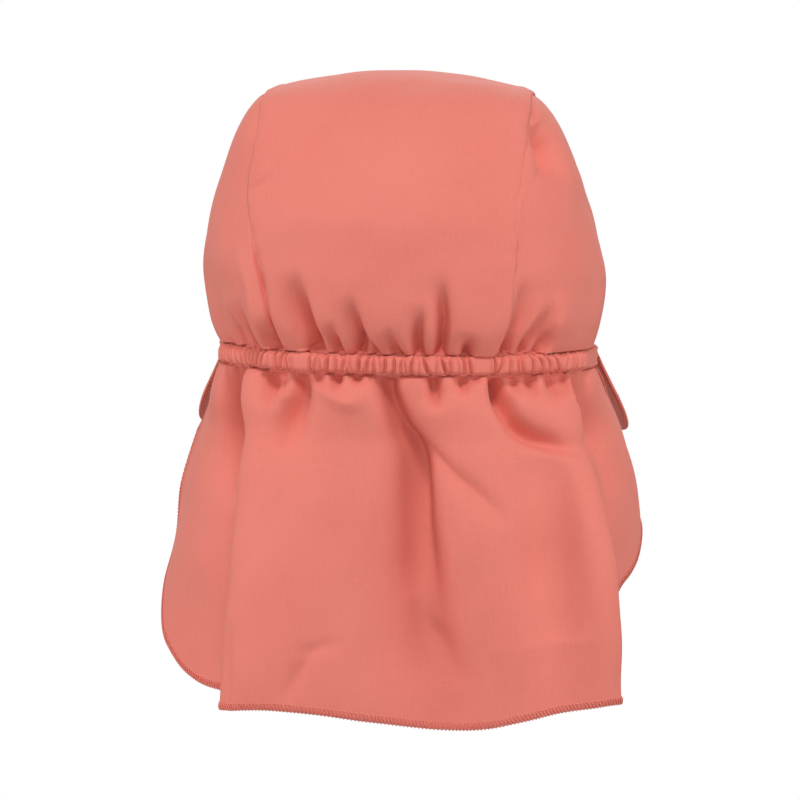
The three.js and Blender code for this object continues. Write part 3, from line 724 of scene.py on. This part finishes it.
def centre_panel():
    across = np.linspace(-1, 1, PANEL_COLUMNS + 1)
    share = np.linspace(0, 1, PANEL_ROWS + 1)[:, None]
    crowding = np.where(share < 0.5, NAPE_CROWDING, BROW_CROWDING)
    share = share - crowding * np.sin(2 * math.pi * share)
    start, end = foot_pitch(across, 1), foot_pitch(across, -1)
    grid = leaned(strip_point(start + (end - start) * share, across))
    to_seam = (1 - np.abs(across)) * seam_half(grid)
    high = smooth_step(80, 100, grid[..., 2])
    ridge = (0.12 + 0.5 * high) * smooth_step(SEAM_ALLOWANCE + 1, SEAM_ALLOWANCE - 1.5, to_seam)
    turned = 0.6 * (1 - smooth_step(0, 1.1, to_seam))
    pucker = 0.16 * np.sin(share * 130 + 2 * np.sin(share * 47)) * np.exp(-to_seam / 5)
    waves = 0.5 * soft_waves(grid, 60, 3) + 0.16 * soft_waves(grid, 22, 4)
    grid = grid + gathered(grid, CROWN_FOLDS, CROWN_FOOT, 1.3)
    grid = grid + outward(grid) * (ridge - turned + pucker + waves)[..., None]
    hidden = grid[[0, -1]] - [0, 0, TUCK]
    return np.concatenate([hidden[:1], grid, hidden[1:]])


crown_cotton = woven_cloth("crown cotton", COTTON_CORAL)
centre = cloth_piece("crown_centre_cloth", centre_panel(), CROWN_THICKNESS, crown_cotton)
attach(centre, "root")
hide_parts("crown_centre_panel")


# Side panels of the crown: one from each long edge of the centre panel down to the band, its
# upper edge tucked under the centre panel's and its foot sewn into the casing and brow band.
SIDE_CENTRE = np.array([0.0, 0.0, 12.0])
SIDE_ROWS = 84
SIDE_CROWDING = 0.11
SIDE_COLUMNS = 170
SIDE_END = 0.008
SIDE_EASE = 1.35
SIDE_LAP = 2.4
SIDE_SINK = 1.0
SIDE_FOOT_STEP = -2.0


def side_panel(side, seed):
    share = SIDE_END + (1 - 2 * SIDE_END) * np.linspace(0, 1, SIDE_COLUMNS + 1) ** SIDE_EASE
    edge = np.full(1, side)
    start, end = foot_pitch(edge, 1), foot_pitch(edge, -1)
    across = side * (1 - SIDE_LAP / back_seam(CROWN_TOP / 2))
    seam = strip_point(start + (end - start) * share, across)
    back_reach = back_seam(CROWN_FOOT) + SIDE_FOOT_STEP + side * SEAM_SHIFT
    back_foot = np.arcsin(back_reach / BAND_HALF_WIDTH)
    front_foot = math.pi - np.arcsin((front_seam(CROWN_FOOT) + SIDE_FOOT_STEP) / BAND_HALF_WIDTH)
    foot = band_point(side * np.degrees(back_foot + (front_foot - back_foot) * share), 0, CROWN_FOOT)
    to_seam = seam - SIDE_CENTRE
    to_foot = foot - SIDE_CENTRE
    to_seam /= np.linalg.norm(to_seam, axis=-1, keepdims=True)
    to_foot /= np.linalg.norm(to_foot, axis=-1, keepdims=True)
    down = np.linspace(0, 1, SIDE_ROWS + 1)[:, None, None]
    down = down - SIDE_CROWDING * np.sin(2 * math.pi * down)
    direction = to_seam * (1 - down) + to_foot * down
    grid = crown_hit(SIDE_CENTRE, direction / np.linalg.norm(direction, axis=-1, keepdims=True))
    grid[0] = seam
    grid[-1, :, 2] = CROWN_FOOT
    grid = leaned(grid if side < 0 else grid[:, ::-1])
    from_seam = np.linalg.norm(grid - grid[:1], axis=-1)
    sink = SIDE_SINK * (1 - smooth_step(0.5, 5.5, from_seam)) * (1 - 0.6 * smooth_step(80, 100, grid[..., 2]))
    pucker = 0.25 * soft_waves(grid, 9, seed) * np.exp(-from_seam / 6)
    waves = 0.55 * soft_waves(grid, 60, seed + 1) + 0.2 * soft_waves(grid, 24, seed + 2)
    calm = smooth_step(0, 12, from_seam) * smooth_step(0, 10, grid[..., 2] - CROWN_FOOT)
    grid = grid + gathered(grid, CROWN_FOLDS, CROWN_FOOT, 1.1)
    grid = grid + outward(grid) * (pucker + waves * calm - sink)[..., None]
    return np.concatenate([grid, grid[-1:] - [0, 0, TUCK]])


for side, seed, name in ((1, 21, "left"), (-1, 31, "right")):
    panel = cloth_piece("crown_side_cloth_" + name, side_panel(side, seed), CROWN_THICKNESS, crown_cotton)
    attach(panel, "root")
    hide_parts("crown_side_panel_" + name)


# Peak: two layers of the cotton over a soft stiffener, turned out with a rounded edge and sewn
# to the brow band, made as one solid wall. It droops towards the temples, where its tips show from behind.
PEAK_THICKNESS = 1.9
PEAK_STATIONS = [
    {"angle": 0, "reach": 64, "droop": 24},
    {"angle": 20, "reach": 62, "droop": 26},
    {"angle": 40, "reach": 57, "droop": 36},
    {"angle": 55, "reach": 46.5, "droop": 53},
    {"angle": 65, "reach": 41, "droop": 57},
    {"angle": 75, "reach": 27, "droop": 60},
    {"angle": 82, "reach": 5, "droop": 64},
]
PEAK_ROOT = BROW_DEPTH / 2 - 0.3
PEAK_ROOT_HEIGHT = 2.5
PEAK_ROOT_DROOP = 0.95
PEAK_SWAY = 0
PEAK_COLUMNS = 160
PEAK_ROWS = 36
PEAK_EDGE_ROWS = 6


def peak_layers():
    """The peak's upper face and its thickness there, which ends round at the free edge."""
    widest = PEAK_STATIONS[-1]["angle"]
    angle = np.linspace(-widest, widest, PEAK_COLUMNS + 1)
    reach = table_curve(PEAK_STATIONS, "angle", "reach")(np.abs(angle))
    droop = table_curve(PEAK_STATIONS, "angle", "droop")(np.abs(angle))
    edge = np.arange(1, PEAK_EDGE_ROWS + 1) / PEAK_EDGE_ROWS
    round_off = np.concatenate([np.zeros(PEAK_ROWS), edge])[:, None]
    short = np.minimum(PEAK_THICKNESS / 2 / reach, 0.5)
    out = np.linspace(0, 1, PEAK_ROWS)[:, None] * (1 - short)
    out = np.concatenate([out, 1 - short * (1 - np.sin(edge * math.pi / 2))[:, None]])
    length = reach * out
    turn = np.radians(droop) * (PEAK_ROOT_DROOP + (1 - PEAK_ROOT_DROOP) * out)
    foot = band_point(180 - angle, PEAK_ROOT, PEAK_ROOT_HEIGHT)
    away = band_point(180 - angle, PEAK_ROOT + 1) - band_point(180 - angle, PEAK_ROOT)
    grid = foot + away * (length * np.cos(turn))[..., None]
    grid = grid + np.stack([PEAK_SWAY * out + 0 * length, 0 * length, -length * np.sin(turn)], -1)
    thickness = PEAK_THICKNESS * np.cos(round_off * math.pi / 2 * 0.93) + 0 * length
    return grid - outward(grid) * ((PEAK_THICKNESS - thickness) / 2)[..., None], thickness


peak_grid, peak_depth = peak_layers()
peak = cloth_piece("peak_cloth", peak_grid, peak_depth, woven_cloth("peak cotton", COTTON_CORAL))
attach(peak, "root")
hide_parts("peak")


# Neck flap: one wide piece of thin cotton gathered into the casing from one front edge round
# the nape to the other. It hangs free, with two deep folds beside the neck.
FLAP_THICKNESS = 0.6
FLAP_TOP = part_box("neck_flap")[1].z / MM
FLAP_COLUMNS = 400
FLAP_ROWS = 108
FLAP_FOLDS = [
    {"name": "left front edge", "angle": 88, "half": (79, -6), "hem": (86, -19), "low": -34},
    {"name": "left front curve", "angle": 86.5, "half": (84, -13), "hem": (93.5, -29), "low": -59},
    {"name": "left corner upper", "angle": 85, "half": (86, -11), "hem": (95.5, -25), "low": -80},
    {"name": "left corner", "angle": 81, "half": (88, -4), "hem": (98.3, -11), "low": -98},
    {"name": "left corner lower", "angle": 77, "half": (88, 5), "hem": (97.5, 2), "low": -113},
    {"name": "left side", "angle": 72, "half": (86, 15), "hem": (92, 14), "low": -122.5},
    {"name": "left side inner", "angle": 66, "half": (76, 31), "hem": (80, 29), "low": -130},
    {"name": "left valley wall", "angle": 60, "half": (64, 44), "hem": (67, 43), "low": -132},
    {"name": "left valley", "angle": 57, "half": (54, 53), "hem": (59, 54), "low": -132.5},
    {"name": "behind left fold", "angle": 55, "half": (55, 66), "hem": (60, 68), "low": -132.5},
    {"name": "left fold", "angle": 52, "half": (61.8, 77), "hem": (67, 79), "low": -133},
    {"name": "left face", "angle": 47, "half": (57, 84), "hem": (62, 88), "low": -132.4},
    {"name": "left back", "angle": 36, "half": (42, 91), "hem": (45, 95), "low": -130.9},
    {"name": "left crest", "angle": 22, "half": (26, 94), "hem": (27, 98), "low": -131.6},
    {"name": "left of middle", "angle": 10, "half": (7, 93), "hem": (5, 96), "low": -134.4},
    {"name": "middle valley", "angle": -1, "half": (-10, 83), "hem": (-20, 91), "low": -137.2},
    {"name": "right of middle", "angle": -12, "half": (-26, 93), "hem": (-37, 96), "low": -135.6},
    {"name": "right crest", "angle": -24, "half": (-42, 92), "hem": (-50, 94), "low": -133},
    {"name": "right soft valley", "angle": -36, "half": (-59, 82), "hem": (-64, 87), "low": -130.5},
    {"name": "right face", "angle": -50, "half": (-76, 79), "hem": (-81, 80), "low": -129},
    {"name": "right fold", "angle": -60, "half": (-82, 70), "hem": (-88.3, 69), "low": -128.8},
    {"name": "behind right fold", "angle": -63, "half": (-73, 60), "hem": (-77, 59), "low": -127},
    {"name": "right valley", "angle": -65, "half": (-68, 50), "hem": (-71, 48), "low": -120},
    {"name": "right valley wall", "angle": -68, "half": (-74, 38), "hem": (-79, 35), "low": -108},
    {"name": "right side inner", "angle": -72, "half": (-81, 26), "hem": (-87, 20), "low": -92},
    {"name": "right side", "angle": -76, "half": (-86, 13), "hem": (-91.5, 8), "low": -86.5},
    {"name": "right corner lower", "angle": -80, "half": (-88, 4), "hem": (-93.5, -2), "low": -81},
    {"name": "right corner", "angle": -83, "half": (-88, -5), "hem": (-94, -14), "low": -72},
    {"name": "right corner upper", "angle": -86, "half": (-85.5, -13), "hem": (-90, -27), "low": -62},
    {"name": "right front curve", "angle": -87, "half": (-83.5, -14), "hem": (-87.5, -33), "low": -48},
    {"name": "right front edge", "angle": -88, "half": (-79, -7), "hem": (-82.5, -22), "low": -27},
]
# The flap's smaller folds and wrinkles, in the same terms as the crown's.
FLAP_WRINKLES = [
    {"name": "middle valley", "depth": 10.8, "width": 5, "sharp": 0.3, "skew": 0.3, "end": "casing",
     "path": [(2.6, -3), (1, -12), (-3, -21), (-8.2, -31), (-10.7, -46), (-12.6, -65), (-16.5, -88), (-20, -108)]},
    {"name": "branch of the valley", "depth": 3.2, "width": 3.2, "sharp": 0.4, "skew": 0.4, "end": "free",
     "path": [(-4.5, -21), (-21, -37.7), (-33.7, -48.7), (-43, -60)]},
    {"name": "low crease", "depth": 2, "width": 5, "sharp": 0.3, "skew": 0.2, "end": "free",
     "path": [(-9, -88), (-13.5, -98), (-19.4, -105), (-26, -121)]},
    {"name": "right crescent", "depth": 9, "width": 2.8, "sharp": 0.3, "skew": -0.25, "end": "casing",
     "path": [(-36, -3), (-37, -12), (-41.5, -20.5), (-48.5, -26.5), (-59.5, -30), (-73, -32.5), (-86, -35)]},
    {"name": "core of the crescent", "depth": 6.5, "width": 2.8, "sharp": 0.3, "skew": 0, "end": "casing",
     "path": [(-36, -3), (-37.5, -13), (-42, -22)]},
    {"name": "broad shade", "depth": 6, "width": 12, "sharp": 0, "skew": 0.2, "end": "free",
     "path": [(-60.7, -34), (-60.2, -65), (-63.4, -104)]},
    {"name": "left hollow", "depth": 11, "width": 4.2, "sharp": 0.3, "skew": 0.1, "end": "casing",
     "path": [(37, -3), (35.2, -13), (38.4, -21), (47, -37)]},
    {"name": "smile ridge", "depth": -2.6, "width": 2.8, "sharp": 0.4, "skew": 0, "end": "free",
     "path": [(32, -5), (29.5, -9), (23.2, -13.4), (17.3, -15), (12.8, -12.9), (8, -8)]},
    {"name": "gather at the left end", "depth": 8.1, "width": 2.8, "sharp": 0.4, "skew": 0.3, "end": "casing",
     "path": [(48.6, -3), (47.6, -10), (49, -20)]},
    {"name": "left outer gather", "depth": 7.5, "width": 2.4, "sharp": 0.4, "skew": 0, "end": "casing",
     "path": [(44.8, -3), (43.4, -15)]},
    {"name": "gather by the left tack", "depth": 6.5, "width": 2.2, "sharp": 0.4, "skew": 0, "end": "casing",
     "path": [(29.2, -3), (29.5, -12)]},
    {"name": "left inner gather", "depth": 6.8, "width": 2, "sharp": 0.4, "skew": 0.2, "end": "casing",
     "path": [(21.8, -3), (21.2, -12)]},
    {"name": "left middle gather", "depth": 5.2, "width": 2, "sharp": 0.4, "skew": 0, "end": "casing",
     "path": [(14.2, -3), (14.6, -10)]},
    {"name": "gather right of the middle", "depth": 8.5, "width": 2.4, "sharp": 0.4, "skew": 0, "end": "casing",
     "path": [(-13.4, -3), (-14.4, -10), (-16.5, -19)]},
    {"name": "right inner gather", "depth": 6.5, "width": 2.4, "sharp": 0.4, "skew": 0, "end": "casing",
     "path": [(-23.7, -3), (-24.8, -14)]},
    {"name": "gather by the right tack", "depth": 4.9, "width": 2, "sharp": 0.4, "skew": 0, "end": "casing",
     "path": [(-28.8, -3), (-29.8, -9)]},
    {"name": "right outer gather", "depth": 7.5, "width": 2.4, "sharp": 0.4, "skew": 0, "end": "casing",
     "path": [(-42.4, -3), (-44.8, -13)]},
    {"name": "second right gather", "depth": 7.5, "width": 2.4, "sharp": 0.4, "skew": 0, "end": "casing",
     "path": [(-48, -3), (-51.5, -15)]},
    {"name": "third right gather", "depth": 7.8, "width": 2.6, "sharp": 0.4, "skew": 0, "end": "casing",
     "path": [(-56, -3), (-59.5, -17)]},
    {"name": "gather at the right end", "depth": 5.5, "width": 2.2, "sharp": 0.4, "skew": 0, "end": "casing",
     "path": [(-60.6, -3), (-64, -14)]},
    {"name": "wrinkle over the hem", "depth": 1, "width": 2, "sharp": 0.4, "skew": 0, "end": "free",
     "path": [(36, -109), (27.6, -106.3), (17, -104)]},
    {"name": "wrinkle down to the hem", "depth": 1.6, "width": 2.2, "sharp": 0.4, "skew": 0, "end": "free",
     "path": [(28, -105), (34.6, -115.6), (40, -128)]},
    {"name": "valley beside the left fold", "depth": 13, "width": 4.2, "sharp": 0.3, "skew": 0.8, "end": "casing",
     "path": [(59.4, -5), (61.5, -14), (62.2, -24), (62.8, -40), (64, -62)]},
    {"name": "valley beside the right fold", "depth": 8, "width": 3.4, "sharp": 0.3, "skew": -0.7, "end": "casing",
     "path": [(-65.5, -5), (-67, -13), (-71.5, -22), (-77, -36), (-82, -58)]},
    {"name": "lobe left of the left fold", "depth": -3, "width": 3.4, "sharp": 0.1, "skew": 0, "end": "casing",
     "path": [(67, -4), (69.5, -14), (72, -26), (74, -44)]},
    {"name": "second crease of the left fold", "depth": 1.5, "width": 1.6, "sharp": 0.4, "skew": 0, "end": "free",
     "path": [(61, -98), (62.5, -108), (63, -136)]},
]


def flap_places(share, down):
    """Places on the flap: a share of its width from the left front edge, and of its drop."""
    step = share * (len(FLAP_FOLDS) - 1)
    angle = np.array([fold["angle"] for fold in FLAP_FOLDS])
    low = np.array([[fold["low"]] for fold in FLAP_FOLDS])
    half = np.hstack([[fold["half"] for fold in FLAP_FOLDS], (FLAP_TOP + low) / 2])
    hem = np.hstack([[fold["hem"] for fold in FLAP_FOLDS], low])
    top = spline(band_point(angle, 0, FLAP_TOP), step)
    half, hem = spline(half, step), spline(hem, step)
    down = down[..., None]
    return top * (1 - down) * (1 - 2 * down) + half * 4 * down * (1 - down) + hem * down * (2 * down - 1)


def neck_flap():
    fine = np.linspace(0, 1, 4000)
    along_hem = flap_places(fine, np.ones(1))
    passed = np.concatenate([[0], np.cumsum(np.linalg.norm(np.diff(along_hem, axis=0), axis=1))])
    share = np.interp(np.linspace(0, passed[-1], FLAP_COLUMNS + 1), passed, fine)
    down = np.linspace(0, 1, FLAP_ROWS + 1)[:, None] ** 1.15
    grid = flap_places(share, down)
    hang = smooth_step(0, 30, FLAP_TOP - grid[..., 2])
    waves = 0.9 * soft_waves(grid, 75, 51) + 0.3 * soft_waves(grid, 26, 52)
    grid = grid + gathered(grid, FLAP_WRINKLES, FLAP_TOP, 1.5)
    grid = grid + outward(grid) * (waves * hang)[..., None]
    return np.concatenate([grid[:1] + [0, 0, TUCK], grid])


flap_cotton = woven_cloth("flap cotton", COTTON_CORAL)
flap_grid = neck_flap()
flap = cloth_piece("neck_flap_cloth", flap_grid, FLAP_THICKNESS, flap_cotton)
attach(flap, "root")
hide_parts("neck_flap")


# Overlocked hem: close stitches of thicker thread that wrap the flap's raw edge, down one front
# edge, round the hem and up the other, with a line of needle stitches where they end.
THREAD_CORAL = (0.76, 0.21, 0.163)
STITCH_CORAL = (0.78, 0.26, 0.2)
OVERLOCK_START = 3
OVERLOCK = {"Stitch Pitch": 1.45, "Stitch Height": 2.6, "Thread Radius": 0.25, "Cloth Thickness": FLAP_THICKNESS}


def sewing_thread(name, colour):
    """Matt spun thread, its twist shown as a fine relief."""
    material = bpy.data.materials.new(name)
    material.use_nodes = True
    nodes, links = material.node_tree.nodes, material.node_tree.links
    shader = nodes["Principled BSDF"]
    shader.inputs["Base Color"].default_value = (*colour, 1)
    shader.inputs["Roughness"].default_value = 0.7
    shader.inputs["Specular IOR Level"].default_value = 0.25
    place = nodes.new("ShaderNodeTexCoord")
    twist = nodes.new("ShaderNodeTexNoise")
    twist.inputs["Scale"].default_value = 6000
    links.new(place.outputs["Object"], twist.inputs["Vector"])
    relief = nodes.new("ShaderNodeBump")
    relief.inputs["Strength"].default_value = 0.3
    relief.inputs["Distance"].default_value = 0.05 * MM
    links.new(twist.outputs["Fac"], relief.inputs["Height"])
    links.new(relief.outputs["Normal"], shader.inputs["Normal"])
    return material


def sew_along(tree, line, pitch, stitch):
    """One stitch at each pitch of a line, its X along the line and its Z out of the cloth."""
    curve = add_node(tree, "GeometryNodeMeshToCurve", Mesh=line)
    spaced = add_node(tree, "GeometryNodeResampleCurve", {"mode": "LENGTH"}, Curve=curve.outputs[0], Length=pitch)
    out = add_node(tree, "GeometryNodeInputNamedAttribute", {"data_type": "FLOAT_VECTOR"}, Name="outward")
    along = tree.nodes.new("GeometryNodeInputTangent")
    upright = add_node(tree, "FunctionNodeAlignRotationToVector", {"axis": "Z"}, Vector=out.outputs["Attribute"])
    turned = add_node(tree, "FunctionNodeAlignRotationToVector", {"axis": "X", "pivot_axis": "Z"},
                      Rotation=upright.outputs[0], Vector=along.outputs[0])
    return add_node(tree, "GeometryNodeInstanceOnPoints", Points=spaced.outputs[0], Instance=stitch,
                    Rotation=turned.outputs[0]).outputs[0]


def thread_arc(tree, start, middle, end, radius):
    """A short bent length of thread."""
    arc = add_node(tree, "GeometryNodeCurveQuadraticBezier", Resolution=5, Start=start, Middle=middle, End=end)
    section = add_node(tree, "GeometryNodeCurvePrimitiveCircle", Resolution=5, Radius=radius)
    return add_node(tree, "GeometryNodeCurveToMesh", Curve=arc.outputs[0], Profile_Curve=section.outputs[0],
                    Fill_Caps=True).outputs[0]


def overlock_tree():
    tree, given = making_tree("overlocked edge", "Edge Line", list(OVERLOCK))
    pitch, height, radius = given["Stitch Pitch"], given["Stitch Height"], given["Thread Radius"]
    behind = product(tree, given["Cloth Thickness"], -1)
    middle = product(tree, height, 0.5)
    turn = vector_of(tree, product(tree, pitch, 0.9), product(tree, radius, -1), product(tree, behind, 0.5))
    front = thread_arc(tree, vector_of(tree, 0, height, 0),
                       vector_of(tree, product(tree, pitch, 0.4), middle, product(tree, radius, 3)), turn, radius)
    deep = add_node(tree, "ShaderNodeMath", {"operation": "SUBTRACT"}).outputs[0]
    tree.links.new(behind, deep.node.inputs[0])
    tree.links.new(product(tree, radius, 4), deep.node.inputs[1])
    back = thread_arc(tree, turn, vector_of(tree, product(tree, pitch, 0.8), middle, deep),
                      vector_of(tree, pitch, height, behind), radius)
    both = tree.nodes.new("GeometryNodeJoinGeometry")
    tree.links.new(front, both.inputs[0])
    tree.links.new(back, both.inputs[0])
    end_tree(tree, sew_along(tree, given["Edge Line"], pitch, both.outputs[0]), given["Material"])
    return tree


def free_edge(grid, inwards):
    """The flap's front edges and hem as one line, a number of grid steps in from the edge."""
    last = -1 - inwards
    down = grid[OVERLOCK_START:last, inwards]
    return np.concatenate([down, grid[last, inwards:last], grid[last:OVERLOCK_START:-1, last]])


flap_outward = outward(flap_grid)
overlock = made_by_nodes("flap_overlock", overlock_tree(), [free_edge(flap_grid, 0)], OVERLOCK,
                         sewing_thread("overlock thread", THREAD_CORAL), [free_edge(flap_outward, 0)])
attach(overlock, "root")


# Topstitching: running stitches along both edges of the casing and the brow band, along the
# peak's edge, and beside the overlocked hem.
RUNNING = {"Stitch Pitch": 2.1, "Stitch Length": 1.4, "Thread Radius": 0.21}
BROW_STITCH_HEIGHT = 2.9
PEAK_STITCH_IN = 5.0
PEAK_STITCH_SHORTEST = 26.0
EDGE_STITCH_IN = 2
LINE_POINTS = 600


def running_tree():
    tree, given = making_tree("running stitches", "Seam Line", list(RUNNING))
    length, radius = given["Stitch Length"], given["Thread Radius"]
    low = product(tree, radius, -0.9)
    stitch = thread_arc(tree, vector_of(tree, product(tree, length, -0.5), 0, low),
                        vector_of(tree, 0, 0, product(tree, radius, 1.6)),
                        vector_of(tree, product(tree, length, 0.5), 0, low), radius)
    end_tree(tree, sew_along(tree, given["Seam Line"], given["Stitch Pitch"], stitch), given["Material"])
    return tree


def peak_stitch_line():
    """A line on the peak's upper face, a set distance in from its edge."""
    steps = np.linalg.norm(np.diff(peak_grid, axis=0), axis=-1)
    to_edge = np.cumsum(steps[::-1], axis=0)[::-1]
    columns = np.flatnonzero(to_edge[0] > PEAK_STITCH_SHORTEST)
    rows = (to_edge > PEAK_STITCH_IN).sum(axis=0)
    return peak_grid[rows, np.arange(len(rows))][columns], outward(peak_grid)[rows, np.arange(len(rows))][columns]


casing_angle = np.linspace(-CASING_END + 1, CASING_END - 1, LINE_POINTS)
band_out = band_point(casing_angle, 1) - band_point(casing_angle)
brow_out = band_point(brow_angle, 1) - band_point(brow_angle)
peak_line, peak_out = peak_stitch_line()
stitch_lines = [casing_face(casing_angle, level) for level in (-STITCH_LEVEL, STITCH_LEVEL)]
stitch_lines += [band_point(brow_angle, BROW_DEPTH / 2, level) for level in (-BROW_STITCH_HEIGHT, BROW_STITCH_HEIGHT)]
stitches = made_by_nodes(
    "topstitching", running_tree(), stitch_lines + [peak_line, free_edge(flap_grid, EDGE_STITCH_IN)], RUNNING,
    sewing_thread("topstitch thread", STITCH_CORAL),
    [band_out, band_out, brow_out, brow_out, peak_out, free_edge(flap_outward, EDGE_STITCH_IN)])
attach(stitches, "root")


# Studio: white all round, soft light from above and from both sides, and a camera at the
# photograph's angle to the back of the cap.
FLOOR_LEVEL = -780
VIEW_YAW, VIEW_RISE, VIEW_ROLL = math.radians(3.2), math.radians(4.3), math.radians(-0.9)
VIEW_DISTANCE = 1500
VIEW_TARGET = Vector((3.2, 0, -19.5))
SENSOR_WIDTH, LENS = 36, 168.75
STUDIO_LIGHTS = [
    {"name": "key", "place": (-100, 1200, 1550), "size": 420, "power": 14.5},
    {"name": "fill", "place": (0, 1700, 250), "size": 800, "power": 5.5},
    {"name": "left", "place": (1500, 400, 200), "size": 900, "power": 9},
    {"name": "right", "place": (-1500, 400, 200), "size": 900, "power": 8},
    {"name": "front", "place": (0, -1500, 900), "size": 900, "power": 6},
]


def white_for_camera(nodes, links, seen, lighting):
    """White where the camera sees it and dimmer where it only lights the cap."""
    path = nodes.new("ShaderNodeLightPath")
    blend = nodes.new("ShaderNodeMixShader")
    links.new(path.outputs["Is Camera Ray"], blend.inputs[0])
    links.new(lighting, blend.inputs[1])
    links.new(seen, blend.inputs[2])
    return blend.outputs[0]


world = bpy.data.worlds.new("studio")
world.use_nodes = True
bpy.context.scene.world = world
nodes, links = world.node_tree.nodes, world.node_tree.links
soft = nodes["Background"]
soft.inputs["Color"].default_value = (1.0, 0.98, 0.96, 1)
soft.inputs["Strength"].default_value = 0.42
plain = nodes.new("ShaderNodeBackground")
plain.inputs["Color"].default_value = (1, 1, 1, 1)
links.new(white_for_camera(nodes, links, plain.outputs[0], soft.outputs[0]),
          nodes["World Output"].inputs["Surface"])

bpy.ops.mesh.primitive_plane_add(size=40, location=(0, 0, FLOOR_LEVEL * MM))
floor = bpy.context.active_object
floor.name = "floor"
paint = bpy.data.materials.new("pale floor")
paint.use_nodes = True
nodes, links = paint.node_tree.nodes, paint.node_tree.links
nodes["Principled BSDF"].inputs["Base Color"].default_value = (0.58, 0.58, 0.58, 1)
glow = nodes.new("ShaderNodeEmission")
links.new(white_for_camera(nodes, links, glow.outputs[0], nodes["Principled BSDF"].outputs[0]),
          nodes["Material Output"].inputs["Surface"])
floor.data.materials.append(paint)

for light in STUDIO_LIGHTS:
    lamp = bpy.data.lights.new(light["name"], "AREA")
    lamp.size = light["size"] * MM
    lamp.energy = light["power"]
    holder = bpy.data.objects.new(light["name"], lamp)
    holder.location = Vector(light["place"]) * MM
    holder.rotation_euler = (-holder.location).to_track_quat("-Z", "Y").to_euler()
    bpy.context.scene.collection.objects.link(holder)

ahead = Vector((math.sin(VIEW_YAW) * math.cos(VIEW_RISE), -math.cos(VIEW_YAW) * math.cos(VIEW_RISE),
                -math.sin(VIEW_RISE)))
right = ahead.cross(Vector((0, 0, 1))).normalized()
up = right.cross(ahead)
rolled = (right * math.cos(VIEW_ROLL) - up * math.sin(VIEW_ROLL),
          right * math.sin(VIEW_ROLL) + up * math.cos(VIEW_ROLL), -ahead)
camera = bpy.data.objects.new("camera", bpy.data.cameras.new("camera"))
camera.data.sensor_width = SENSOR_WIDTH
camera.data.lens = LENS
turned = Matrix(rolled).transposed().to_4x4()
turned.translation = (VIEW_TARGET - ahead * VIEW_DISTANCE) * MM
camera.matrix_world = turned
bpy.context.scene.collection.objects.link(camera)
bpy.context.scene.camera = camera
bpy.context.scene.view_settings.view_transform = "Standard"
